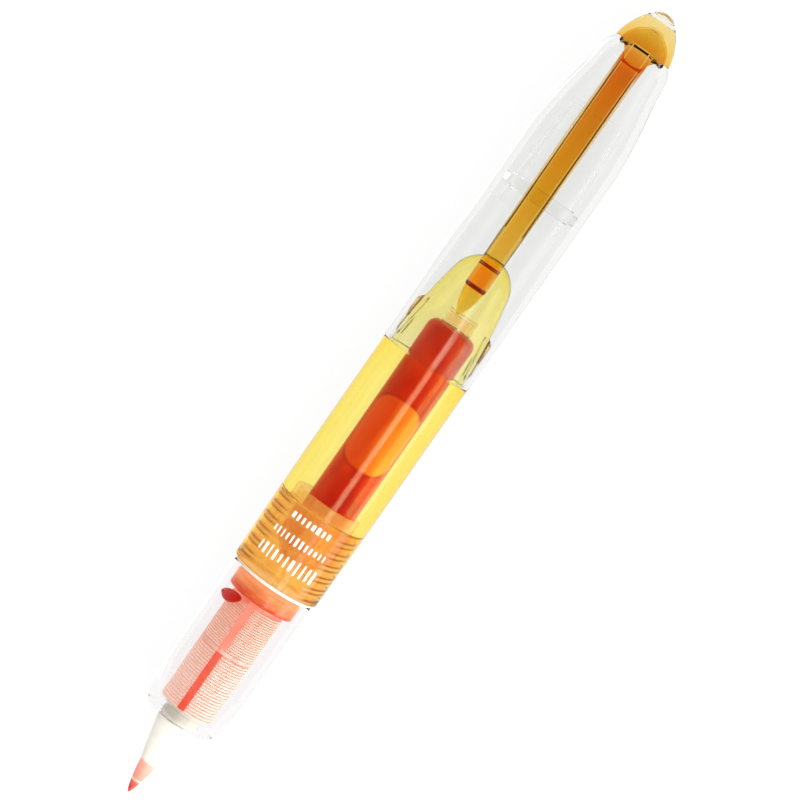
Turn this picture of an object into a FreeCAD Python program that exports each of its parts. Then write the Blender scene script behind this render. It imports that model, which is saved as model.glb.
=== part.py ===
import FreeCAD, Part
import math
import os

import Sketcher

# A refillable brush pen, lying along X with its nib at -X and its posted cap at +X.
# Lengths are in millimetres. Stations along the pen are measured from the barrel's mouth.

SIZES = {
    # barrel: a clear shell with a threaded mouth and a narrow tail that the cap is posted on
    "barrel_length": 37.0,
    "barrel_radius": 6.95,
    "mouth_radius": 6.8,
    "band_length": 14.0,
    "bore_radius": 5.7,
    "bore_taper_lead": 6.0,
    "tail_length": 17.4,
    "tail_radius": 6.0,
    "tail_side_length": 13.1,
    "tail_end_radius": 4.53,
    "tail_side_arc": 71.0,
    "tail_dome_arc": 4.75,
    "tail_wall": 0.9,
    "tail_bore_arc": 104.0,
    "tail_bore_dome_arc": 3.9,
    # posting ribs on the tail
    "rib_start": 1.5,
    "rib_length": 6.0,
    "rib_width": 0.6,
    "rib_count": 2,
    # thread between the connector and the barrel
    "thread_pitch": 1.93,
    "thread_turns": 5,
    "thread_start": 1.2,
    "thread_zone": 11.3,
    "thread_depth": 0.36,
    "thread_root_width": 0.95,
    "thread_crest_width": 0.4,
    "thread_gap": 0.08,
    # connector: the plug in the grip and the threaded spigot in the barrel
    "spigot_radius": 5.25,
    "spigot_bore_radius": 4.62,
    "spigot_length": 13.3,
    "plug_length": 0.8,
    "plug_floor": 0.5,
    "face_gap": 0.05,
    "seal_thickness": 0.45,
    "seal_width": 0.9,
    # grip section
    "grip_length": 24.2,
    "grip_radius": 6.38,
    "grip_curve_length": 6.7,
    "grip_curve_arc": 22.0,
    "grip_rim_radius": 5.4,
    "grip_bore_radius": 5.42,
    "grip_front_wall": 1.5,
    "slip_gap": 0.04,
    # nib holder, sleeve and brush
    "holder_radius": 2.8,
    "holder_tip_radius": 1.41,
    "holder_length": 7.3,
    "holder_cone_length": 5.9,
    "holder_flange_radius": 3.4,
    "holder_flange_length": 0.5,
    "sleeve_radius": 1.24,
    "sleeve_wall": 0.16,
    "sleeve_length": 3.8,
    "sleeve_reach": 0.3,
    "brush_length": 5.25,
    "brush_point_length": 1.98,
    "brush_point_radius": 0.68,
    "brush_tip_radius": 0.06,
    "brush_root_length": 6.0,
    "brush_side_arc": 16.0,
    # collector and what runs through it
    "collector_radius": 4.15,
    "collector_core_radius": 2.9,
    "fin_pitch": 0.48,
    "fin_thickness": 0.24,
    "front_fin_pitch": 0.6,
    "front_fin_thickness": 0.3,
    "collar_length": 1.0,
    "front_stack_length": 9.6,
    "rear_stack_space": 1.1,
    "channel_width": 1.1,
    "wick_radius": 0.75,
    "reserve_length": 2.4,
    "spike_radius": 1.45,
    "spike_bore_radius": 0.6,
    "spike_reach": 2.4,
    # cartridge
    "cartridge_offset": 0.7,
    "cartridge_radius": 3.75,
    "cartridge_wall": 0.45,
    "cartridge_start": 1.0,
    "cartridge_length": 42.2,
    "cartridge_neck_radius": 2.6,
    "cartridge_neck_length": 3.5,
    "cartridge_shoulder": 1.6,
    "cartridge_mouth_radius": 1.75,
    "boss_radius": 2.3,
    "boss_length": 2.3,
    "ball_radius": 1.2,
    "bubble_radius": 1.75,
    "bubble_length": 8.4,
    "bubble_place": 14.2,
    "bubble_side": 0.9,
    "bubble_lift": 1.0,
    # cap
    "cap_length": 58.05,
    "cap_lip_radius": 7.0,
    "cap_radius": 7.05,
    "cap_body_length": 35.9,
    "cap_shoulder_length": 46.7,
    "cap_shoulder_radius": 5.6,
    "cap_ogive_arc": 90.0,
    "cap_neck_length": 49.9,
    "cap_neck_radius": 5.2,
    "cap_corner_arc": 3.4,
    "cap_lip_bore": 6.45,
    "cap_deep_bore": 5.95,
    "cap_taper_length": 23.0,
    "inner_cap_seat": 28.4,
    "cap_inner_bore": 5.4,
    "cap_inner_end_bore": 4.2,
    "cap_inner_end": 46.5,
    "cap_floor": 49.4,
    "nose_tip_radius": 1.75,
    "nose_straight": 1.1,
    "nose_rounding": 0.35,
    # inner cap
    "inner_cap_radius": 5.0,
    "inner_cap_end_radius": 4.2,
    "inner_cap_wall": 0.55,
    "inner_cap_length": 17.5,
    "inner_flange_length": 1.5,
    # crown and clip
    "crown_place": 52.05,
    "crown_length": 5.3,
    "crown_radius": 4.3,
    "crown_tip_radius": 1.9,
    "crown_wall": 0.85,
    "crown_arc": 9.0,
    "clip_width": 3.85,
    "clip_ridge_width": 2.6,
    "clip_chamfer": 0.5,
    "clip_thickness": 1.3,
    "clip_gap": 0.65,
    "clip_root_place": 47.15,
    "clip_root_height": 6.95,
    "clip_bend_place": 38.95,
    "clip_end_place": 12.65,
    "lip_length": 4.3,
    "lip_width": 3.2,
    "lip_thickness": 0.4,
    "lip_tip_width": 0.4,
    "foot_length": 3.9,
    "foot_gap": 0.08,
    "tongue_reach": 3.2,
    "tongue_rise": 1.3,
    "tongue_gap": 0.4,
    "hinge_gap": 0.06,
}


# Half the height of a socket that opens 120 degrees, as a share of its radius.
SOCKET_RISE = math.sin(math.radians(60))


class Size:
    # A length that keeps the spreadsheet expression it comes from.
    def __init__(self, text, value):
        self.text = text
        self.value = value

    def joined(self, other, sign, value):
        return Size(f"({self.text} {sign} {as_size(other).text})", value)

    def __add__(self, other):
        return self.joined(other, "+", self.value + as_size(other).value)

    def __radd__(self, other):
        return as_size(other) + self

    def __sub__(self, other):
        return self.joined(other, "-", self.value - as_size(other).value)

    def __rsub__(self, other):
        return as_size(other) - self

    def __mul__(self, other):
        return self.joined(other, "*", self.value * as_size(other).value)

    def __rmul__(self, other):
        return as_size(other) * self

    def __truediv__(self, other):
        return self.joined(other, "/", self.value / as_size(other).value)

    def __neg__(self):
        return Size(f"(0 - {self.text})", -self.value)


def as_size(number):
    return number if isinstance(number, Size) else Size(repr(number), number)


def make_sheet(doc):
    sheet = doc.addObject("Spreadsheet::Sheet", "Sizes")
    for row, (name, value) in enumerate(SIZES.items(), start=1):
        sheet.set(f"A{row}", name)
        sheet.set(f"B{row}", str(value))
        sheet.setAlias(f"B{row}", name)
    doc.recompute()


class Sheet:
    # Sheet().barrel_length is the cell of that name as a Size.
    def __getattr__(self, name):
        return Size(f"Sizes.{name}", SIZES[name])


doc = FreeCAD.newDocument("BrushPen")
make_sheet(doc)
s = Sheet()

# Stations that several pieces share, measured from the barrel's mouth.
nib_tip = -(s.grip_length + s.holder_length + s.sleeve_reach + s.brush_length)
tail_end = s.barrel_length + s.tail_length
cap_lip = s.barrel_length + s.face_gap
cap_end = cap_lip + s.cap_length
middle = (nib_tip + cap_end) / 2
axis_height = s.cap_radius
grip_rear = -(s.seal_thickness + 2 * s.face_gap)
plug_front = grip_rear - s.plug_length
reserve_front = plug_front - s.reserve_length
cartridge_rear = s.cartridge_start + s.cartridge_length
cartridge_shoulder_start = cartridge_rear - 1.1 * s.cartridge_shoulder
ink_front = s.cartridge_start + s.cartridge_neck_length + s.cartridge_shoulder + s.cartridge_wall
ink_rear = cartridge_shoulder_start - s.cartridge_wall
cap_neck = cap_lip + s.cap_neck_length
crown_start = cap_lip + s.crown_place
crown_end = crown_start + s.crown_length
nose_radius = s.crown_radius - s.crown_wall
clip_root = cap_lip + s.clip_root_place


def bind(thing, path, size):
    # Sets a property from the sheet.
    thing.setExpression(path, as_size(size).text)


def new_body(label, sideways=0):
    body = doc.addObject("PartDesign::Body", label)
    body.Label = label
    bind(body, ".Placement.Base.x", -middle)
    bind(body, ".Placement.Base.y", sideways)
    bind(body, ".Placement.Base.z", axis_height)
    return body


def origin_part(body, role):
    # One of the body's own axes or planes.
    return next(item for item in body.Origin.OriginFeatures if item.Role == role)


def arc_centre(start, end, radius):
    # Centre of the shorter arc; a positive radius has it on the left of start to end.
    chord = end - start
    reach = math.sqrt(radius * radius - chord.Length * chord.Length / 4)
    left = FreeCAD.Vector(-chord.y, chord.x, 0).normalize()
    return (start + end) / 2 + left * math.copysign(reach, radius)


def add_edge(sketch, start, end, radius):
    # Returns the edge's number and which of its ends is the start.
    if radius is None:
        return sketch.addGeometry(Part.LineSegment(start, end), False), 1, 2
    centre = arc_centre(start, end, radius.value)
    circle = Part.Circle(centre, FreeCAD.Vector(0, 0, 1), abs(radius.value))
    first, last = (start, end) if radius.value > 0 else (end, start)
    angles = [math.atan2(point.y - centre.y, point.x - centre.x) for point in (first, last)]
    number = sketch.addGeometry(Part.ArcOfCircle(circle, angles[0], angles[1]), False)
    return (number, 1, 2) if radius.value > 0 else (number, 2, 1)


def pin_down(sketch, kind, where, size):
    size = as_size(size)
    number = sketch.addConstraint(Sketcher.Constraint(kind, *where, size.value))
    if "Sizes." in size.text:
        bind(sketch, f"Constraints[{number}]", size)


def outline(body, name, corners, role="XY_Plane"):
    # A closed outline. Each corner is (x, y), or (x, y, radius) where an arc starts there.
    sketch = body.newObject("Sketcher::SketchObject", name)
    sketch.AttachmentSupport = [(origin_part(body, role), "")]
    sketch.MapMode = "FlatFace"
    corners = [tuple(as_size(number) for number in corner) for corner in corners]
    places = [FreeCAD.Vector(corner[0].value, corner[1].value, 0) for corner in corners]
    edges = []
    for index, corner in enumerate(corners):
        radius = corner[2] if len(corner) > 2 else None
        edges.append(add_edge(sketch, places[index], places[(index + 1) % len(places)], radius))
    for index, (number, start, _) in enumerate(edges):
        before, _, end = edges[index - 1]
        sketch.addConstraint(Sketcher.Constraint("Coincident", before, end, number, start))
        pin_down(sketch, "DistanceX", (-1, 1, number, start), corners[index][0])
        pin_down(sketch, "DistanceY", (-1, 1, number, start), corners[index][1])
        if len(corners[index]) > 2:
            radius = corners[index][2]
            pin_down(sketch, "Radius", (number,), radius if radius.value > 0 else -radius)
    return sketch


def turned(body, name, corners, kind="Revolution"):
    # A full turn of the outline about the pen's axis.
    feature = body.newObject(f"PartDesign::{kind}", name)
    feature.Profile = outline(body, f"{name}Outline", corners)
    feature.ReferenceAxis = (feature.Profile[0], ["H_Axis"])
    feature.Angle = 360
    return feature


def extruded(body, name, corners, length, kind="Pad", role="XZ_Plane"):
    # The outline pushed the same way to both sides of its plane.
    feature = body.newObject(f"PartDesign::{kind}", name)
    feature.Profile = outline(body, f"{name}Outline", corners, role)
    feature.Midplane = True
    bind(feature, "Length", length)
    return feature


def threaded(body, name, start, turns, low, high, widths, kind):
    # A thread of trapezoid section; low and high are radii, widths those at low and high.
    root, crest = (width / 2 for width in widths)
    corners = [(start - root, low), (start + root, low), (start + crest, high), (start - crest, high)]
    feature = body.newObject(f"PartDesign::{kind}Helix", name)
    feature.Profile = outline(body, f"{name}Outline", corners)
    feature.ReferenceAxis = (feature.Profile[0], ["H_Axis"])
    feature.Mode = "pitch-turns-angle"
    bind(feature, "Pitch", s.thread_pitch)
    bind(feature, "Turns", turns)
    feature.LeftHanded = False
    feature.Reversed = False
    return feature


def finish(body):
    # The body's last feature is its tip.
    solids = [item for item in body.Group if not item.isDerivedFrom("Sketcher::SketchObject")]
    body.Tip = solids[-1]
    return body


def make_barrel():
    body = new_body("barrel_shell")
    shoulder = s.barrel_length
    minor = s.spigot_radius + s.thread_gap
    side_end = shoulder + s.tail_side_length
    turned(body, "Shell", [
        (0, minor),
        (0, s.mouth_radius),
        (s.band_length, s.barrel_radius),
        (shoulder, s.barrel_radius),
        (shoulder, s.tail_radius, -s.tail_side_arc),
        (side_end, s.tail_end_radius, -s.tail_dome_arc),
        (tail_end, 0),
        (tail_end - 1.2 * s.tail_wall, 0, s.tail_bore_dome_arc),
        (side_end - 0.5 * s.tail_wall, s.tail_end_radius - s.tail_wall, s.tail_bore_arc),
        (shoulder - s.bore_taper_lead, s.bore_radius),
        (s.thread_zone, s.bore_radius),
        (s.thread_zone, minor),
    ])
    rib_end = shoulder + s.rib_start + s.rib_length
    rib_top = s.cap_lip_bore - 4 * s.slip_gap
    rib = extruded(body, "Rib", [
        (shoulder + s.rib_start, s.tail_radius - s.tail_wall / 2),
        (shoulder + s.rib_start + s.rib_width, rib_top),
        (rib_end - s.rib_width, rib_top - s.rib_width / 6),
        (rib_end, s.tail_radius - s.tail_wall),
    ], s.rib_width, role="XY_Plane")
    ribs = body.newObject("PartDesign::PolarPattern", "Ribs")
    ribs.Originals = [rib]
    ribs.Axis = (origin_part(body, "X_Axis"), [""])
    ribs.Angle = 360
    bind(ribs, "Occurrences", s.rib_count)
    body.Tip = ribs
    # The groove starts whole turns before the thread it takes, so the two are in step.
    lead_turns = 2
    widths = (s.thread_root_width + 2 * s.thread_gap, s.thread_crest_width + 2 * s.thread_gap)
    threaded(body, "Groove", s.thread_start - lead_turns * s.thread_pitch,
             s.thread_turns + 2 * lead_turns, minor - s.thread_gap,
             s.spigot_radius + s.thread_depth + s.thread_gap, widths, "Subtractive")
    return finish(body)


def make_connector():
    body = new_body("section_connector")
    plug_radius = s.grip_bore_radius - s.slip_gap
    spike_hole = s.spike_radius + s.cartridge_offset + s.slip_gap
    turned(body, "Plug", [
        (plug_front, spike_hole),
        (plug_front, plug_radius),
        (grip_rear, plug_radius),
        (grip_rear, s.spigot_radius),
        (s.spigot_length, s.spigot_radius),
        (s.spigot_length, s.spigot_bore_radius),
        (plug_front + s.plug_floor, s.spigot_bore_radius),
        (plug_front + s.plug_floor, spike_hole),
    ])
    sunk = s.thread_gap / 2
    threaded(body, "Thread", s.thread_start, s.thread_turns, s.spigot_radius - sunk,
             s.spigot_radius + s.thread_depth, (s.thread_root_width, s.thread_crest_width),
             "Additive")
    return finish(body)


def make_seal():
    body = new_body("section_seal")
    inside = s.spigot_radius + 2 * s.slip_gap
    turned(body, "Ring", [
        (grip_rear + s.face_gap, inside),
        (grip_rear + s.face_gap, inside + s.seal_width),
        (-s.face_gap, inside + s.seal_width),
        (-s.face_gap, inside),
    ])
    return finish(body)


def make_grip():
    body = new_body("grip_section")
    front = -s.grip_length
    hole = s.holder_radius + s.slip_gap
    rounding = s.grip_front_wall / 3
    turned(body, "Grip", [
        (front, hole),
        (front, s.grip_rim_radius - rounding, -rounding),
        (front + rounding, s.grip_rim_radius, -s.grip_curve_arc),
        (front + s.grip_curve_length, s.grip_radius),
        (grip_rear, s.grip_radius),
        (grip_rear, s.grip_bore_radius),
        (front + s.grip_curve_length, s.grip_bore_radius),
        (front + s.grip_front_wall, s.grip_rim_radius - 2 * rounding),
        (front + s.grip_front_wall, hole),
    ])
    return finish(body)


def make_holder():
    body = new_body("nib_holder")
    front = -(s.grip_length + s.holder_length)
    flange = -s.grip_length + s.grip_front_wall + s.slip_gap
    bore = s.sleeve_radius + s.slip_gap
    turned(body, "Holder", [
        (front, bore),
        (front, s.holder_tip_radius),
        (front + s.holder_cone_length, s.holder_radius),
        (flange, s.holder_radius),
        (flange, s.holder_flange_radius),
        (flange + s.holder_flange_length, s.holder_flange_radius),
        (flange + s.holder_flange_length, bore),
    ])
    return finish(body)


def make_sleeve():
    body = new_body("brush_sleeve")
    front = -(s.grip_length + s.holder_length + s.sleeve_reach)
    turned(body, "Sleeve", [
        (front, s.sleeve_radius - s.sleeve_wall),
        (front, s.sleeve_radius),
        (front + s.sleeve_length, s.sleeve_radius),
        (front + s.sleeve_length, s.sleeve_radius - s.sleeve_wall),
    ])
    return finish(body)


def make_brush():
    body = new_body("brush_nib")
    root = nib_tip + s.brush_length
    root_radius = s.sleeve_radius - s.sleeve_wall - s.slip_gap
    turned(body, "Brush", [
        (nib_tip, 0),
        (nib_tip, s.brush_tip_radius, -s.brush_side_arc / 4),
        (nib_tip + s.brush_point_length, s.brush_point_radius, -s.brush_side_arc),
        (root, s.sleeve_radius),
        (root, root_radius),
        (root + s.brush_root_length, root_radius),
        (root + s.brush_root_length, 0),
    ])
    return finish(body)


def make_wick():
    body = new_body("ink_wick")
    front = nib_tip + s.brush_length + s.brush_root_length + s.slip_gap
    turned(body, "Wick", [
        (front, 0),
        (front, s.wick_radius),
        (reserve_front, s.wick_radius),
        (reserve_front, 0),
    ])
    return finish(body)


def fins(body, name, start, pitch, thickness, count):
    # Thin discs in a row, the first one at start.
    disc = turned(body, name, [
        (start, s.wick_radius + s.slip_gap),
        (start, s.collector_radius),
        (start + thickness, s.collector_radius),
        (start + thickness, s.wick_radius + s.slip_gap),
    ])
    row = body.newObject("PartDesign::LinearPattern", f"{name}Row")
    row.Originals = [disc]
    row.Direction = (origin_part(body, "X_Axis"), [""])
    bind(row, "Length", (count - 1) * pitch)
    row.Occurrences = count
    body.Tip = row


def make_collector():
    body = new_body("collector")
    front = -s.grip_length + s.grip_front_wall + s.holder_flange_length + 2 * s.slip_gap
    collar = front + s.front_stack_length
    rear_stack = collar + s.collar_length
    rear = reserve_front - s.rear_stack_space
    bore = s.wick_radius + s.slip_gap
    turned(body, "Core", [
        (front, bore),
        (front, s.collector_core_radius),
        (collar, s.collector_core_radius),
        (collar, s.collector_radius),
        (rear_stack, s.collector_radius),
        (rear_stack, s.collector_core_radius),
        (reserve_front, s.collector_core_radius),
        (reserve_front, bore),
    ])
    front_count = int(SIZES["front_stack_length"] / SIZES["front_fin_pitch"])
    rear_count = int((rear.value - rear_stack.value) / SIZES["fin_pitch"])
    fins(body, "FrontFin", front, s.front_fin_pitch, s.front_fin_thickness, front_count)
    fins(body, "RearFin", rear_stack + s.fin_pitch, s.fin_pitch, s.fin_thickness, rear_count)
    # A narrow channel in the upper side, open to the wick, feeds ink to the fins.
    half = s.channel_width / 2
    channel = body.newObject("PartDesign::Pocket", "Channel")
    channel.Profile = outline(body, "ChannelOutline", [
        (front - half, -half), (rear, -half), (rear, half), (front - half, half),
    ])
    channel.Type = "Length"
    bind(channel, "Length", s.collector_radius + half)
    channel.Reversed = True
    return finish(body)


def make_reserve():
    body = new_body("reserve_ink")
    turned(body, "Ink", [
        (reserve_front + s.slip_gap, 0),
        (reserve_front + s.slip_gap, s.grip_bore_radius - s.slip_gap),
        (plug_front - s.slip_gap, s.grip_bore_radius - s.slip_gap),
        (plug_front - s.slip_gap, 0),
    ])
    return finish(body)


def make_spike():
    body = new_body("ink_spike", -s.cartridge_offset)
    tip = s.cartridge_start + s.spike_reach
    half_wall = (s.spike_radius - s.spike_bore_radius) / 2
    turned(body, "Spike", [
        (plug_front, s.spike_bore_radius),
        (plug_front, s.spike_radius),
        (tip - half_wall, s.spike_radius),
        (tip, s.spike_bore_radius + half_wall),
        (tip, s.spike_bore_radius),
    ])
    return finish(body)


def make_cartridge():
    body = new_body("cartridge_shell", -s.cartridge_offset)
    front = s.cartridge_start
    neck_end = front + s.cartridge_neck_length
    boss_end = cartridge_rear + s.boss_length
    inside = s.cartridge_radius - s.cartridge_wall
    turned(body, "Shell", [
        (front, s.cartridge_mouth_radius),
        (front, s.cartridge_neck_radius),
        (neck_end, s.cartridge_neck_radius),
        (neck_end + s.cartridge_shoulder, s.cartridge_radius),
        (cartridge_shoulder_start, s.cartridge_radius, -1.3 * s.cartridge_shoulder),
        (cartridge_rear, s.boss_radius),
        (boss_end, s.boss_radius),
        (boss_end, 0),
        (boss_end - s.cartridge_wall, 0),
        (boss_end - s.cartridge_wall, s.boss_radius - s.cartridge_wall),
        (cartridge_rear - s.cartridge_wall, s.boss_radius - s.cartridge_wall),
        (ink_rear, inside),
        (ink_front, inside),
        (neck_end, s.cartridge_mouth_radius),
    ])
    return finish(body)


def make_ink():
    body = new_body("cartridge_ink", -s.cartridge_offset)
    radius = s.cartridge_radius - s.cartridge_wall - s.slip_gap
    turned(body, "Ink", [
        (ink_front, 0),
        (ink_front, radius),
        (ink_rear, radius),
        (ink_rear, 0),
    ])
    return finish(body)


def make_bubble():
    # The air bubble is a round-ended hollow under the top of the ink, to one side.
    ink = make_ink()
    start = ink_front + s.bubble_place
    ends = [start, start + s.bubble_length]
    spots = []
    for index, place in enumerate(ends):
        ball = doc.addObject("Part::Sphere", f"BubbleEnd{index + 1}")
        bind(ball, "Radius", s.bubble_radius)
        bind(ball, ".Placement.Base.x", place - middle)
        spots.append(ball)
    rod = doc.addObject("Part::Cylinder", "BubbleMiddle")
    rod.Placement.Rotation = FreeCAD.Rotation(FreeCAD.Vector(0, 1, 0), 90)
    bind(rod, "Radius", s.bubble_radius)
    bind(rod, "Height", s.bubble_length)
    bind(rod, ".Placement.Base.x", start - middle)
    spots.append(rod)
    for piece in spots:
        bind(piece, ".Placement.Base.y", -(s.cartridge_offset + s.bubble_side))
        bind(piece, ".Placement.Base.z", axis_height + s.bubble_lift)
    bubble = doc.addObject("Part::MultiFuse", "Bubble")
    bubble.Shapes = spots
    filled = doc.addObject("Part::Cut", "InkWithBubble")
    filled.Base = ink
    filled.Tool = bubble
    ink.Label = "InkFill"
    filled.Label = "cartridge_ink"
    return filled


def make_ball():
    body = new_body("seal_ball", -s.cartridge_offset)
    centre = ink_rear + s.slip_gap + s.ball_radius
    turned(body, "Ball", [
        (centre - s.ball_radius, 0, -s.ball_radius * 1.0001),
        (centre + s.ball_radius, 0),
    ])
    return finish(body)


def make_cap():
    body = new_body("cap_shell")
    seat = cap_lip + s.inner_cap_seat
    turned(body, "Cap", [
        (cap_lip, s.cap_lip_bore),
        (cap_lip, s.cap_lip_radius),
        (cap_lip + s.cap_body_length, s.cap_radius, -s.cap_ogive_arc),
        (cap_lip + s.cap_shoulder_length, s.cap_shoulder_radius),
        (cap_neck, s.cap_neck_radius, -s.cap_corner_arc),
        (crown_start, s.crown_radius),
        (crown_start, nose_radius),
        (crown_start + s.nose_straight, nose_radius),
        (crown_end - s.crown_wall, s.nose_tip_radius),
        (cap_end - s.nose_rounding, s.nose_tip_radius, -3 * s.nose_tip_radius),
        (cap_end, 0),
        (cap_lip + s.cap_floor, 0),
        (cap_lip + s.cap_inner_end, s.cap_inner_end_bore),
        (seat, s.cap_inner_bore),
        (seat, s.cap_deep_bore),
        (cap_lip + s.cap_taper_length, s.cap_deep_bore),
    ])
    return finish(body)


def make_inner_cap():
    body = new_body("inner_cap")
    seat = cap_lip + s.inner_cap_seat - s.slip_gap
    mouth = cap_lip + s.grip_length
    closed = mouth + s.inner_cap_length
    flange = s.cap_deep_bore - s.slip_gap
    turned(body, "Cup", [
        (mouth, s.inner_cap_radius - s.inner_cap_wall),
        (mouth, s.inner_cap_radius),
        (seat - s.inner_flange_length, s.inner_cap_radius),
        (seat - s.inner_flange_length, flange),
        (seat, flange),
        (seat, s.inner_cap_radius),
        (closed, s.inner_cap_end_radius),
        (closed, 0),
        (closed - s.inner_cap_wall, 0),
        (closed - s.inner_cap_wall, s.inner_cap_end_radius - s.inner_cap_wall),
    ])
    return finish(body)


def make_crown():
    body = new_body("clip_crown")
    seat = crown_start + s.slip_gap
    bore = nose_radius + s.slip_gap
    turned(body, "Crown", [
        (seat, bore),
        (seat, s.crown_radius, -s.crown_arc),
        (crown_end, s.crown_tip_radius),
        (crown_end, s.nose_tip_radius + s.slip_gap),
        (crown_end - s.crown_wall + s.slip_gap, s.nose_tip_radius + s.slip_gap),
        (crown_start + s.nose_straight + s.slip_gap, bore),
    ])
    # The tongue rises over the cap's neck and ends in a hollow around the arm's root.
    socket = s.clip_thickness / 2 + s.hinge_gap
    end = clip_root + socket / 2
    lift = socket * SOCKET_RISE
    extruded(body, "Tongue", [
        (crown_start + s.tongue_reach, s.crown_radius - s.crown_wall),
        (crown_start + s.tongue_reach / 2, s.crown_radius + s.tongue_rise / 3),
        (crown_start - s.crown_wall, s.crown_radius + s.tongue_rise),
        (end, s.clip_root_height + lift, -socket),
        (end, s.clip_root_height - lift),
        (cap_neck, s.cap_neck_radius + s.tongue_gap),
        (crown_start - s.slip_gap, s.crown_radius + s.tongue_gap),
        (crown_start + s.crown_wall, s.crown_radius - s.tongue_gap),
    ], s.clip_width)
    return finish(body)


def make_arm():
    body = new_body("clip_arm")
    half = s.clip_thickness / 2
    under = s.cap_radius + s.clip_gap
    top = under + s.clip_thickness
    foot = s.cap_radius + s.foot_gap
    root = clip_root + half / 3
    bend = cap_lip + s.clip_bend_place
    tip = cap_lip + s.clip_end_place
    rise = half * math.sqrt(8) / 3
    layers = (("Base", s.clip_width, s.clip_chamfer), ("Ridge", s.clip_ridge_width, as_size(0)))
    for name, width, drop in layers:
        extruded(body, name, [
            (root, s.clip_root_height - rise, half),
            (root, s.clip_root_height + rise),
            (bend, top - drop),
            (tip + half, top - drop),
            (tip, under + half / 2 - drop / 4),
            (tip, under - half / 2),
            (tip + half, foot),
            (tip + s.foot_length - 2 * half, foot),
            (tip + s.foot_length, under),
            (bend, under),
        ], width)
    # A thin lip runs on from the foot and narrows to a point.
    lip = tip - s.lip_length
    low = foot + 2 * s.slip_gap
    extruded(body, "Lip", [
        (lip, low),
        (lip, low + s.lip_thickness),
        (tip + half, low + s.lip_thickness),
        (tip + half, low),
    ], s.lip_width)
    for side in (1, -1):
        cut = body.newObject("PartDesign::Pocket", "LipSideA" if side > 0 else "LipSideB")
        cut.Profile = outline(body, f"{cut.Name}Outline", [
            (lip - s.lip_thickness, side * s.lip_tip_width / 2),
            (tip - s.slip_gap, side * s.lip_width / 2),
            (tip - s.slip_gap, side * s.clip_width),
            (lip - s.lip_thickness, side * s.clip_width),
        ][::side])
        cut.Type = "Length"
        bind(cut, "Length", top)
        cut.Reversed = True
    return finish(body)


def check(pieces):
    for item in doc.Objects:
        if "Invalid" in item.State or "Error" in item.State:
            raise RuntimeError(f"{item.Label} did not compute: {item.State}")
    for piece in pieces:
        shape = piece.Shape
        if shape.isNull() or not shape.isValid() or len(shape.Solids) != 1:
            raise RuntimeError(f"{piece.Label} is not one valid solid")
        print(f"{piece.Label:18s} volume {shape.Volume:9.3f} mm3")


pieces = [
    make_barrel(),
    make_connector(),
    make_seal(),
    make_grip(),
    make_holder(),
    make_sleeve(),
    make_brush(),
    make_wick(),
    make_collector(),
    make_reserve(),
    make_spike(),
    make_cartridge(),
    make_bubble(),
    make_ball(),
    make_cap(),
    make_inner_cap(),
    make_crown(),
    make_arm(),
]
doc.recompute()
check(pieces)
os.makedirs("parts", exist_ok=True)
for piece in pieces:
    piece.Shape.exportStep(f"parts/{piece.Label}.step")
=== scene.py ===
import bpy
import bmesh
import math
from mathutils import Matrix, Vector


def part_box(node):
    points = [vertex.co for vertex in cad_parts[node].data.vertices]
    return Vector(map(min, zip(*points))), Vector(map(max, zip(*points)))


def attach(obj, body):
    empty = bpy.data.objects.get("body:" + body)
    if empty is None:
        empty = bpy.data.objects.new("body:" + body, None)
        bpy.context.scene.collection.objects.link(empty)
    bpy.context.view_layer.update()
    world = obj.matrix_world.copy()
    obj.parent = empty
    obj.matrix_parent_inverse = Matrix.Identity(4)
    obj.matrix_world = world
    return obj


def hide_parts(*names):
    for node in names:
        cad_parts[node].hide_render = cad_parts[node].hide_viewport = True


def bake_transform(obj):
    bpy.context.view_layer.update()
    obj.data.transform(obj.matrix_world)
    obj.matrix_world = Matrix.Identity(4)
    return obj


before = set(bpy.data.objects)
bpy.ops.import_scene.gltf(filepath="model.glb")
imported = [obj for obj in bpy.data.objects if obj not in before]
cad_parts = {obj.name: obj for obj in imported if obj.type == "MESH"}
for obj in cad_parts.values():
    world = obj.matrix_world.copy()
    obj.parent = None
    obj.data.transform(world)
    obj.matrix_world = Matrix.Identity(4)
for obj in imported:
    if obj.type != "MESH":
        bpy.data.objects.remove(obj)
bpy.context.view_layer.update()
mm = 0.001
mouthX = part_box("barrel_shell")[0].x                    # stations run from the barrel's mouth
capLow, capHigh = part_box("cap_shell")
axisZ = (capLow.z + capHigh.z) / 2
cartridgeLow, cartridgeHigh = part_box("cartridge_shell")
cartridgeY = (cartridgeLow.y + cartridgeHigh.y) / 2
print("frame loaded")

# the camera looks down at the lying pen

view = {
    "aim": 30.65,            # station that the camera looks at, mm from the barrel's mouth
    "distance": 380.0,
    "lean": 5.5,             # degrees towards the cap
    "turn": 34.8,            # degrees of the pen, clockwise from upright
    "lens": 123.0,
}


def makeCamera():
    aim = Vector((mouthX + view["aim"] * mm, 0, axisZ))
    lean = math.radians(view["lean"])
    back = Vector((math.sin(lean), 0, math.cos(lean)))
    along = Vector((math.cos(lean), 0, -math.sin(lean)))
    left = back.cross(along)
    turn = math.radians(view["turn"])
    up = along * math.cos(turn) + left * math.sin(turn)
    right = up.cross(back)
    data = bpy.data.cameras.new("camera")
    data.lens = view["lens"]
    data.clip_start = 0.01
    camera = bpy.data.objects.new("camera", data)
    bpy.context.scene.collection.objects.link(camera)
    axes = Matrix((right, up, back)).transposed().to_4x4()
    camera.matrix_world = Matrix.Translation(aim + back * view["distance"] * mm) @ axes
    bpy.context.scene.camera = camera


makeCamera()
print("camera placed")


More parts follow.
